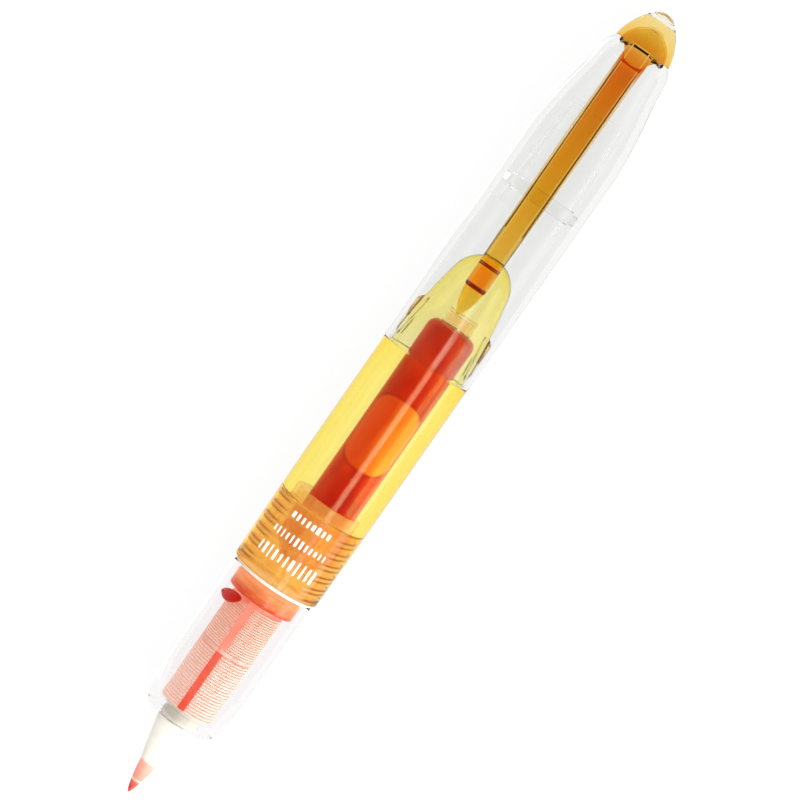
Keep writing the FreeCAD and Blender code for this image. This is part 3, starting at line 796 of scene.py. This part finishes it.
def collectorMaterial():
    # pink comb, redder towards the ink behind it, with a painted glow
    c = collector
    material, tree = newMaterial("collectorPink")
    stain = clouds(tree, 0.35, 3.0, 0.55)
    along = stations(tree)[0]
    soaked = ((along - c["soakedFrom"]) / c["soakedLength"] + (stain - 0.5) * 0.4).clamped()
    colour = mixed(tree, soaked, c["pale"], c["soaked"])
    collar = band(along, (c["collarFrom"] + c["collarTo"]) / 2, 0.35, 1.5) * stain
    colour = mixed(tree, collar * 0.8, colour, c["collarRed"])
    surface(tree, principled(
        tree, mixed(tree, stain * 0.5, colour, c["stain"]), c["roughness"], c["ior"], glow(colour, c["glow"])))
    return material


collectorPink = collectorMaterial()


def makeFins(label, start, pitch, thickness, count):
    c = collector
    group = Tree(label, {
        "Start": mouthX + (start + thickness / 2) * mm, "Pitch": pitch * mm, "Thickness": thickness * mm,
        "Count": count, "Core": (c["core"] - 0.1) * mm, "Radius": c["radius"] * mm,
        "Slot": c["slot"] / c["radius"], "Slot Turn": c["slotTurn"], "Height": float(axisZ),
        "Finish": collectorPink})
    g = group.given
    arc = group.node("GeometryNodeCurveArc", {"mode": "RADIUS"}, {
        "Resolution": 120, "Radius": (g("Core") + g("Radius")) * 0.5,
        "Start Angle": g("Slot") * 0.5 + g("Slot Turn"), "Sweep Angle": 2 * math.pi - g("Slot")})
    section = group.node("GeometryNodeCurvePrimitiveQuadrilateral", {"mode": "RECTANGLE"}, {
        "Width": g("Radius") - g("Core"), "Height": g("Thickness")})
    ring = group.node("GeometryNodeCurveToMesh", {}, {
        "Curve": arc, "Profile Curve": section, "Fill Caps": True})
    # the ring is laid out flat with its gap at +X, then stood up with the gap at the top
    stood = group.node("GeometryNodeTransform", {}, {
        "Geometry": ring, "Rotation": (0, -math.pi / 2, 0)})
    start = group.node("ShaderNodeCombineXYZ", {}, [g("Start"), 0.0, g("Height")])
    step = group.node("ShaderNodeCombineXYZ", {}, [g("Pitch"), 0.0, 0.0])
    line = group.node("GeometryNodeMeshLine", {}, {
        "Count": g("Count"), "Start Location": start, "Offset": step})
    group.finished(group.node("GeometryNodeInstanceOnPoints", {}, {"Points": line, "Instance": stood}))
    return group.mesh(label)


def makeCollector():
    c = collector
    core = turnedPiece("collectorCore", softOutline([
        (c["front"], c["bore"]), (c["front"], c["core"]), (c["collarFrom"], c["core"]),
        (c["collarFrom"], c["radius"]), (c["collarTo"], c["radius"]), (c["collarTo"], c["core"]),
        (c["rear"], c["core"]), (c["rear"], c["bore"])], 0.08), collectorPink, 120)
    shape = bmesh.new()
    shape.from_mesh(core.data)
    bpy.data.objects.remove(core)
    shape.from_mesh(makeFins("frontFins", c["front"], c["frontPitch"], c["frontThickness"], c["frontCount"]))
    rearFrom = c["collarTo"] + 0.5 * c["rearPitch"]
    shape.from_mesh(makeFins("rearFins", rearFrom, c["rearPitch"], c["rearThickness"], c["rearCount"]))
    made = closeMesh(shape, "collectorBody", collectorPink, 30)
    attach(made, "front")
    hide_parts("collector")


makeCollector()
print("collector made")


# brush: tapered fibre with a darker point

brush = {
    "tip": -37.05, "point": 1.98, "pointRadius": 0.68, "length": 5.25, "radius": 1.24,
    "rootRadius": 1.06, "root": 6.0,
    "stainLength": 6.0,                     # the stops run over this length from the tip
    "stops": [
        (0.0, (0.44, 0.006, 0.002, 1)), (0.20, (0.62, 0.025, 0.006, 1)), (0.315, (0.70, 0.06, 0.02, 1)),
        (0.345, (0.96, 0.50, 0.38, 1)), (0.42, (0.84, 0.24, 0.16, 1)), (0.80, (0.90, 0.34, 0.25, 1)),
        (1.0, (0.90, 0.42, 0.32, 1))],
    "fibre": (0.98, 0.58, 0.46, 1), "roughness": 0.5,
}


def brushMaterial():
    # fine fibres along the pen, soaked dark at the point
    b = brush
    material, tree = newMaterial("brushPink")
    fibres = noise(tree, 5.0, 4.0, 0.6, (0.06, 1, 1))
    run = (stations(tree)[0] - b["tip"] + (fibres - 0.5) * 0.35) / b["stainLength"]
    colour = node(tree, "ShaderNodeValToRGB", {"stops": b["stops"]}, [run])
    pale = (fibres * 1.6 - 0.5).clamped() * 0.25
    surface(tree, principled(tree, mixed(tree, pale, colour, b["fibre"]), b["roughness"], None, {
        "Normal": bump(tree, fibres, 0.35, 0.03)}))
    return material


def makeBrush():
    b = brush
    rootFrom = b["tip"] + b["length"]
    made = turnedPiece("brushBody", softOutline([
        (b["tip"], 0), (b["tip"] + 0.02, 0.07, -5.0), (b["tip"] + b["point"], b["pointRadius"], -16.0),
        (rootFrom, b["radius"]), (rootFrom + 0.02, b["rootRadius"]),
        (rootFrom + b["root"], b["rootRadius"]), (rootFrom + b["root"], 0)], 0.03, 0.15), brushMaterial(), 96)
    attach(made, "front")
    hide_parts("brush_nib")


makeBrush()
print("brush made")


# clear cap and the inner cap that seals the nib

cap = {
    "lip": 37.05, "lipBore": 6.45, "lipRadius": 7.0, "bodyEnd": 72.95, "radius": 7.05, "ogive": 90.0,
    "shoulder": 83.75, "shoulderRadius": 5.6, "neck": 86.95, "neckRadius": 5.2, "corner": 3.4,
    "crown": 89.1, "crownRadius": 4.3, "tip": 93.6, "tipRadius": 2.42, "tipArc": 9.0,
    "noseEnd": 94.55, "noseRadius": 1.55, "noseArc": 2.0, "end": 95.1, "wall": 1.1,
    "domeRadius": 3.45, "domeArc": 4.2, "domeEnd": 92.4, "domeWall": 0.6, "deepBore": 5.95, "taper": 60.05,
    "cupMouth": 61.25, "cupRadius": 5.0, "cupFlange": 63.9, "cupFlangeEnd": 65.4, "cupFlangeRadius": 5.91,
    "cupClosed": 78.75, "cupEndRadius": 4.2, "cupWall": 0.55,
}


def makeCap():
    c = cap
    shell = turnedPiece("capBody", softOutline([
        (c["lip"], c["lipBore"]), (c["lip"], c["lipRadius"]), (c["bodyEnd"], c["radius"], -c["ogive"]),
        (c["shoulder"], c["shoulderRadius"]), (c["neck"], c["neckRadius"], -c["corner"]),
        (c["crown"], c["crownRadius"]), (c["crown"], c["domeRadius"], -c["domeArc"]), (c["domeEnd"], 0),
        (c["domeEnd"] - c["domeWall"], 0, c["domeArc"] - c["domeWall"]),
        (c["crown"], c["domeRadius"] - c["domeWall"]), (c["neck"], c["neckRadius"] - c["wall"] + 0.1),
        (c["shoulder"], c["shoulderRadius"] - c["wall"], c["ogive"]),
        (c["bodyEnd"], c["deepBore"] - 0.02), (c["taper"], c["deepBore"])], 0.27), clearCap, 192)
    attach(shell, "cap")
    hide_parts("cap_shell")
    nose = turnedPiece("capNose", softOutline([
        (c["tip"], 0), (c["tip"], c["tipRadius"], -c["tipArc"]), (c["noseEnd"], c["noseRadius"], -c["noseArc"]),
        (c["end"], 0)], 0.1, 0.2), clearNose, 96)
    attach(nose, "cap")
    inside, floorAt = c["cupRadius"] - c["cupWall"], c["cupClosed"] - c["cupWall"]
    cup = turnedPiece("innerCapBody", softOutline([
        (c["cupMouth"], inside), (c["cupMouth"], c["cupRadius"]),
        (c["cupFlange"], c["cupRadius"]), (c["cupFlange"], c["cupFlangeRadius"]),
        (c["cupFlangeEnd"], c["cupFlangeRadius"]), (c["cupFlangeEnd"], c["cupRadius"]),
        (c["cupClosed"], c["cupEndRadius"]), (c["cupClosed"], 0), (floorAt, 0),
        (floorAt, c["cupEndRadius"] - c["cupWall"])], 0.3), clearCup, 160)
    # painted shade: the flange gets a greyer finish, which draws its edge lines darker
    paintFaces(cup, clearRing, c["cupFlange"] - 0.2, c["cupFlangeEnd"] + 0.1)
    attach(cup, "cap")
    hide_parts("inner_cap")


makeCap()
print("cap made")


# amber clip: crown, skirt and arm in one moulding

clip = {
    "crownFrom": 89.14, "crownTo": 93.56, "crownRadius": 4.3, "crownTip": 2.44, "crownArc": 9.0,
    "domeTo": 92.7, "domeRadius": 3.55, "domeArc": 4.2,
    "skirtTo": 86.0, "skirtHalf": 1.35, "skirtReach": 4.9, "skirtThickness": 0.4, "skirtFade": 2.0,
    "skirtRise": 0.06, "skirtSink": 0.02, "skirtColumns": 288, "skirtRows": 14, "crownRows": 26,
    "armTip": 45.4, "armFrom": 49.6, "armTo": 90.2, "armHalf": 1.92, "endHalf": 1.6,
    "ridgeShare": 0.68, "step": 0.2, "edgeDrop": 0.5, "edgeRound": 0.17,
    "lipHalf": 0.12, "lipStep": 0.02, "lipDrop": 0.12,
    "top": [
        (45.4, 7.5), (49.5, 7.75), (50.15, 8.9), (50.5, 9.0), (76.0, 9.0), (84.2, 7.62), (88.5, 5.9),
        (90.6, 4.6)],
    "under": [
        (45.4, 7.3), (49.6, 7.25), (50.3, 7.13), (52.9, 7.13), (53.5, 7.7), (76.0, 7.7), (84.2, 6.3),
        (88.5, 4.4), (90.6, 3.7)],
    "hinge": 84.2, "bendReach": 1.2, "turn": 2.2,       # the turn is about the pen's axis, in degrees
}
amberClip = {
    "roughness": 0.015, "ior": 1.1,
    "from": 45.0, "length": 50.0,                       # the tints run over these stations
    "tints": [
        (0.0, (0.94, 0.70, 0.20, 1)), (0.085, (0.92, 0.56, 0.09, 1)), (0.10, (1.0, 0.26, 0.02, 1)),
        (0.165, (1.0, 0.32, 0.03, 1)), (0.19, (0.86, 0.48, 0.05, 1)), (0.40, (0.80, 0.35, 0.012, 1)),
        (0.62, (0.74, 0.23, 0.006, 1)), (0.80, (0.72, 0.13, 0.004, 1)), (0.85, (0.84, 0.27, 0.012, 1)),
        (0.885, (0.88, 0.50, 0.08, 1)), (0.93, (0.90, 0.64, 0.17, 1)), (1.0, (0.92, 0.76, 0.36, 1))],
    "streak": (0.90, 0.66, 0.20, 1),
    "lineFrom": 53.8, "lineTo": 86.5, "middle": 0.3,    # a painted dark line of shade and a painted pale fringe of refracted light edge the arm
    "lineAt": 1.40, "lineFade": 0.12, "line": (0.10, 0.045, 0.006, 1),
    "fringeAt": 1.52, "fringeFade": 0.08, "paintedFringe": (0.92, 0.80, 0.52, 1),
}


def clipMaterial():
    # amber that is darkest along the arm's middle, redder at its root and paler in the crown
    look = amberClip
    material, tree = newMaterial("amberClip")
    along, across = stations(tree)[:2]
    streak = noise(tree, 1.6, 3.0, 0.6, (0.05, 1, 0.3))
    run = (along + (streak - 0.5) * 1.6 - look["from"]) / look["length"]
    side = abs(across - look["middle"])
    onArm = rising(along, look["lineFrom"], 0.4) * rising(along, look["lineTo"], -2.5)
    # painted shade and light: a dark line along each edge of the arm, and a pale fringe beyond it
    line = band(side, look["lineAt"], look["lineFade"], 1.4) * onArm
    paintedFringe = rising(side, look["fringeAt"], look["fringeFade"]) * onArm
    tint = node(tree, "ShaderNodeValToRGB", {"stops": look["tints"]}, [run])
    colour = mixed(tree, (streak * 1.5 - 0.45).clamped() * 0.12, tint, look["streak"])
    colour = mixed(tree, paintedFringe * 0.75, colour, look["paintedFringe"])
    colour = mixed(tree, line * 0.9, colour, look["line"])
    surface(tree, principled(tree, colour, look["roughness"], look["ior"], {
        "Transmission Weight": 1.0, "Normal": bump(tree, streak, 0.05, 0.05)}))
    return material


def heightAt(line, x, soft=0.0):
    # the height of a line of points at x, evened out over a short run
    spread = [-1.0, -0.5, 0.0, 0.5, 1.0] if soft else [0.0]
    total = 0.0
    for shift in spread:
        at = min(max(x + shift * soft, line[0][0]), line[-1][0])
        for (x0, y0), (x1, y1) in zip(line, line[1:]):
            if at <= x1 + 1e-9:
                total += y0 + (y1 - y0) * (at - x0) / max(x1 - x0, 1e-9)
                break
    return total / len(spread)


def arcLine(start, end, radius, step):
    return [tuple(point) for point in arcPoints(start, end, radius, step)]


def addSkirt(shape):
    c, columns, lower, upper = clip, clip["skirtColumns"], clip["skirtRows"], clip["crownRows"]
    shoulder = (cap["shoulder"], cap["shoulderRadius"])
    capLine = arcLine((cap["bodyEnd"], cap["radius"]), shoulder, -cap["ogive"], 0.5) + [shoulder]
    capLine += arcLine(
        (cap["neck"], cap["neckRadius"]), (cap["crown"], cap["crownRadius"]), -cap["corner"], 0.1)
    capLine += [(c["crownFrom"], c["crownRadius"])]
    crownLine = arcLine((c["crownFrom"], c["crownRadius"]), (c["crownTo"], c["crownTip"]), -c["crownArc"], 0.1)
    crownLine += [(c["crownTo"], c["crownTip"])]
    dome = arcLine((c["domeTo"], 0), (c["crownFrom"], c["domeRadius"]), c["domeArc"], 0.3)
    dome += [(c["crownFrom"], c["domeRadius"])]
    rings = []
    for column in range(columns):
        angle = 2 * math.pi * column / columns
        side = abs(c["skirtReach"] * math.sin(angle))
        front = math.cos(angle)
        start = c["crownFrom"]
        if front > 0 and side < c["skirtReach"]:
            across = (c["skirtReach"] - side) / (c["skirtReach"] - c["skirtHalf"])
            start = c["skirtTo"] + (c["crownFrom"] - c["skirtTo"]) * math.sqrt(max(0, 1 - min(across, 1) ** 2))
        thick = c["skirtThickness"] * max(0.0, front) ** 1.5
        loop = []
        for row in range(lower + 1):                        # outside, below the crown
            x = start + (c["crownFrom"] - start) * row / lower
            edge = min((x - start) / c["skirtFade"], 1) if start < c["crownFrom"] - 1e-6 else 1
            loop.append((x, heightAt(capLine, x) + c["skirtRise"] + thick * edge ** 1.3))
        for row in range(1, upper + 1):                     # outside of the crown
            x = c["crownFrom"] + (c["crownTo"] - c["crownFrom"]) * row / upper
            fade = max(0, 1 - (row / upper) / 0.75) ** 1.3
            edge = min((x - start) / c["skirtFade"], 1)
            loop.append((x, heightAt(crownLine, x) + (c["skirtRise"] + thick * edge ** 1.3) * fade))
        loop.append((c["crownTo"], 0))
        loop += dome
        for row in range(lower, -1, -1):                    # inside, along the cap
            x = start + (c["crownFrom"] - start) * row / lower
            loop.append((x, heightAt(capLine, x) + c["skirtSink"]))
        rings.append([shape.verts.new((
            mouthX + x * mm, r * math.sin(angle) * mm, axisZ + r * math.cos(angle) * mm)) for x, r in loop])
    for column, ring in enumerate(rings):
        other = rings[(column + 1) % columns]
        for index in range(len(ring)):
            ahead = (index + 1) % len(ring)
            if index != lower + upper + 1:                  # the two poles aren't joined
                shape.faces.new((ring[index], other[index], other[ahead], ring[ahead]))


def armStations():
    # close together at the lip and the foot, wider apart along the arm
    c = clip
    rows = [c["armTip"] + d for d in (0.0, 0.1, 0.3, 0.7, 1.2, 1.8, 2.4, 3.0, 3.6)]
    rows += [c["armFrom"] + d for d in (-0.1, 0.0, 0.07, 0.14, 0.24, 0.36, 0.6, 0.9, 1.3, 1.8, 2.4)]
    x = c["armFrom"] + 2.8
    while x < c["armTo"]:
        rows.append(x)
        x += 0.25 if x < c["armFrom"] + 4.4 else 0.6
    return rows


def addArm(shape):
    c = clip
    rings = []
    for x in armStations():
        soft = 1.2 if x > 70 else 0.12
        top, under = heightAt(c["top"], x, soft), heightAt(c["under"], x, soft)
        share = min(max((x - c["armFrom"] - 3.0) / 20, 0), 1)
        wide = c["endHalf"] + (c["armHalf"] - c["endHalf"]) * share
        step, drop = c["step"], c["edgeDrop"]
        if x < c["armFrom"] + 0.05:
            # the thin lip runs to a rounded point
            share = min((x - c["armTip"]) / (c["armFrom"] - c["armTip"]), 1)
            wide = c["lipHalf"] + (c["endHalf"] - 0.3) * math.sin(share * math.pi / 2) ** 0.8
            step, drop = c["lipStep"], c["lipDrop"]
        ridge = wide * c["ridgeShare"]
        low = min(c["edgeRound"], (top - under) * 0.3)
        half = [
            (wide - low, under), (wide - low * 0.3, under + low * 0.3), (wide, under + low),
            (wide, top - drop - low * 0.6), (wide - 0.05, top - drop), (ridge + 0.12, top - step - 0.02),
            (ridge + 0.06, top - step), (ridge - 0.1, top - 0.02), (ridge - 0.16, top)]
        section = half + [(-y, z) for y, z in reversed(half)]
        rings.append([shape.verts.new((mouthX + x * mm, y * mm, axisZ + z * mm)) for y, z in section])
    for ring, other in zip(rings, rings[1:]):
        for index in range(len(ring)):
            ahead = (index + 1) % len(ring)
            shape.faces.new((ring[index], ring[ahead], other[ahead], other[index]))
    shape.faces.new(rings[0])
    shape.faces.new(list(reversed(rings[-1])))


def finishClip(mesh):
    # painted light and shade: the arm's sides are paler with painted refracted light, and the foot's two ends
    # are nearly maroon with painted shade
    c = clip
    for finish in (amberFringeLight, amberEndShade):
        mesh.materials.append(finish)
    for face in mesh.polygons:
        x = (face.center.x - mouthX) / mm
        y, z = face.center.y / mm, (face.center.z - axisZ) / mm
        onArm = abs(y) < c["armHalf"] + 0.3 and z > 5.0
        if onArm and abs(face.normal.y) > 0.6 and c["armFrom"] + 0.3 < x < c["crownFrom"]:
            face.material_index = 1
        elif onArm and abs(face.normal.x) > 0.55 and c["armFrom"] - 0.2 < x < c["armFrom"] + 4.5:
            face.material_index = 2


def makeClip():
    amberDeep = clipMaterial()
    parts = []
    for label, build in (("clipSkirt", addSkirt), ("clipArm", addArm)):
        shape = bmesh.new()
        build(shape)
        parts.append(closeMesh(shape, label, amberDeep, 35))
    union = parts[0].modifiers.new("union", "BOOLEAN")
    union.operation = "UNION"
    union.solver = "EXACT"
    union.object = parts[1]
    bpy.context.view_layer.update()
    graph = bpy.context.evaluated_depsgraph_get()
    mesh = bpy.data.meshes.new_from_object(parts[0].evaluated_get(graph))
    for part in parts:
        bpy.data.objects.remove(part)
    shape = bmesh.new()
    shape.from_mesh(mesh)
    made = closeMesh(shape, "clipBody", amberDeep, 35)
    finishClip(made.data)
    axis = Matrix.Translation((0, 0, axisZ))
    made.data.transform(axis @ Matrix.Rotation(math.radians(-clip["turn"]), 4, "X") @ axis.inverted())
    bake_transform(made)
    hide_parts("clip_crown", "clip_arm")


makeClip()
print("clip made")


# white printed marks round the barrel's mouth, one group of bars per row

marks = {
    "proud": 0.02,
    "rows": {
        "markRow1": {
            "at": 3.9, "count": 11, "pitch": 0.92, "length": 2.1, "width": 0.24, "vary": 0.45, "centre": 0.2},
        "markRow2": {
            "at": 7.0, "count": 12, "pitch": 0.78, "length": 1.3, "width": 0.2, "vary": 0.45, "centre": 0.1},
        "markRow3": {
            "at": 10.0, "count": 8, "pitch": 0.84, "length": 1.1, "width": 0.34, "vary": 0.3, "centre": 0.1},
    },
}


def markRow(label, row, seed):
    # bars of uneven length on a line, wrapped round the barrel
    reach = barrel["mouthRadius"] + (barrel["radius"] - barrel["mouthRadius"]) * row["at"] / barrel["swell"]
    group = Tree(label, {
        "At": mouthX + row["at"] * mm, "Count": row["count"], "Pitch": row["pitch"] * mm,
        "Length": row["length"] * mm, "Width": row["width"] * mm, "Vary": row["vary"],
        "Centre": row["centre"] * mm, "Radius": reach * mm, "Proud": marks["proud"] * mm,
        "Height": float(axisZ), "Seed": seed, "Finish": printWhite})
    g = group.given
    size = group.node("ShaderNodeCombineXYZ", {}, [g("Length"), g("Width"), g("Proud") * 2])
    bar = group.node("GeometryNodeMeshCube", {}, {
        "Size": size, "Vertices X": 2, "Vertices Y": 7, "Vertices Z": 2})
    first = g("Centre") - (g("Count") - 1) * g("Pitch") * 0.5
    start = group.node("ShaderNodeCombineXYZ", {}, [g("At"), first, 0.0])
    step = group.node("ShaderNodeCombineXYZ", {}, [0.0, g("Pitch"), 0.0])
    line = group.node("GeometryNodeMeshLine", {}, {
        "Count": g("Count"), "Start Location": start, "Offset": step})
    drawn = group.node("FunctionNodeRandomValue", {"data_type": "FLOAT"}, {
        "Seed": g("Seed"), "Min": 1 - g("Vary"), "Max": 1.0}, output=1)
    thick = group.node("FunctionNodeRandomValue", {"data_type": "FLOAT"}, {
        "Seed": g("Seed") + 7, "Min": 1.0, "Max": 1 + g("Vary") * 2}, output=1)
    scale = group.node("ShaderNodeCombineXYZ", {}, [drawn, thick, 1.0])
    placed = group.node("GeometryNodeInstanceOnPoints", {}, {"Points": line, "Instance": bar, "Scale": scale})
    flat = group.node("GeometryNodeRealizeInstances", {}, [placed])
    x, y, z = split(group.tree, group.node("GeometryNodeInputPosition"))
    turn, away = y / g("Radius"), g("Radius") + z
    wrapped = group.node("ShaderNodeCombineXYZ", {}, [
        x, away * turn.maths("SINE", turn), away * turn.maths("COSINE", turn) + g("Height")])
    group.finished(group.node("GeometryNodeSetPosition", {}, {"Geometry": flat, "Position": wrapped}))
    return group.mesh(label)


def makeMarks():
    shape = bmesh.new()
    for seed, (label, row) in enumerate(marks["rows"].items()):
        shape.from_mesh(markRow(label, row, seed))
    made = closeMesh(shape, "barrelMarks", printWhite, 30)
    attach(made, "barrel")


makeMarks()
print("marks made")


# floor, world and lamps

stage = {
    "floor": 0.6,             # half the floor's side, m
    "floorWhite": 1.0,
    "shadow": 0.035,          # share of the floor that takes the object's shadow
    "paper": 0.93,            # grey level of the floor that takes it
    "world": [(0.0, 0.97), (0.58, 0.97), (0.72, 0.80), (0.86, 0.40), (1.0, 0.20)],   # from below to overhead
    "bounces": 40,            # enough for light to pass all the clear walls
}


def makeFloor():
    mesh = bpy.data.meshes.new("floor")
    half = stage["floor"]
    corners = [(-half, -half, 0), (half, -half, 0), (half, half, 0), (-half, half, 0)]
    mesh.from_pydata(corners, [], [(0, 1, 2, 3)])
    floor = bpy.data.objects.new("floor", mesh)
    bpy.context.scene.collection.objects.link(floor)
    material, tree = newMaterial("floorWhite")
    path = tree.nodes.new("ShaderNodeLightPath")
    seen = [Socket(tree, path.outputs[name]) for name in (
        "Is Camera Ray", "Is Glossy Ray", "Is Transmission Ray")]
    direct = (seen[0] + seen[1] + seen[2]).clamped() * (1 - stage["shadow"])
    glow = node(tree, "ShaderNodeEmission", {}, {
        "Color": (1, 1, 1, 1), "Strength": stage["floorWhite"]})
    paper = node(tree, "ShaderNodeBsdfDiffuse", {}, {"Color": (stage["paper"],) * 3 + (1,)})
    surface(tree, node(tree, "ShaderNodeMixShader", {}, [direct, paper, glow]))
    mesh.materials.append(material)


def makeWorld():
    world = bpy.data.worlds.new("studio")
    bpy.context.scene.world = world
    world.use_nodes = True
    tree = world.node_tree
    tree.nodes.clear()
    height = split(tree, node(tree, "ShaderNodeTexCoord", output="Generated"))[2]
    ramp = node(tree, "ShaderNodeValToRGB", {"stops": [
        (at, (value, value, value, 1)) for at, value in stage["world"]]}, [height * 0.5 + 0.5])
    light = node(tree, "ShaderNodeBackground", {}, {"Color": ramp, "Strength": 1.0})
    white = node(tree, "ShaderNodeBackground", {}, {"Color": (1, 1, 1, 1), "Strength": 1.0})
    path = node(tree, "ShaderNodeLightPath", output="Is Camera Ray")
    out = tree.nodes.new("ShaderNodeOutputWorld")
    tree.links.new(node(tree, "ShaderNodeMixShader", {}, [path, light, white]).link, out.inputs["Surface"])


# size in m, power in W; a lamp that isn't mirrored leaves no highlight
lamps = {
    "strip": {"at": (0.0, -0.18, 0.48), "size": (0.60, 0.12), "power": 1.3, "mirrored": True},
    "rightBox": {"at": (0.0, -0.56, 0.11), "size": (0.70, 0.24), "power": 2.4, "mirrored": True},
    "fill": {"at": (0.0, -0.25, 0.50), "size": (0.60, 0.50), "power": 3.0, "mirrored": False},
}


def makeLamps():
    target = Vector((0, 0, axisZ))
    for name, lamp in lamps.items():
        data = bpy.data.lights.new(name, "AREA")
        data.shape = "RECTANGLE"
        data.size, data.size_y = lamp["size"]
        data.energy = lamp["power"]
        box = bpy.data.objects.new(name, data)
        box.visible_glossy = box.visible_transmission = lamp["mirrored"]
        bpy.context.scene.collection.objects.link(box)
        at = Vector(lamp["at"])
        box.matrix_world = Matrix.Translation(at) @ (target - at).to_track_quat("-Z", "Y").to_matrix().to_4x4()


makeFloor()
makeWorld()
makeLamps()
scene = bpy.context.scene
scene.view_settings.view_transform = "Standard"
scene.cycles.max_bounces = scene.cycles.transmission_bounces = stage["bounces"]
scene.cycles.transparent_max_bounces = stage["bounces"]
print("stage set")
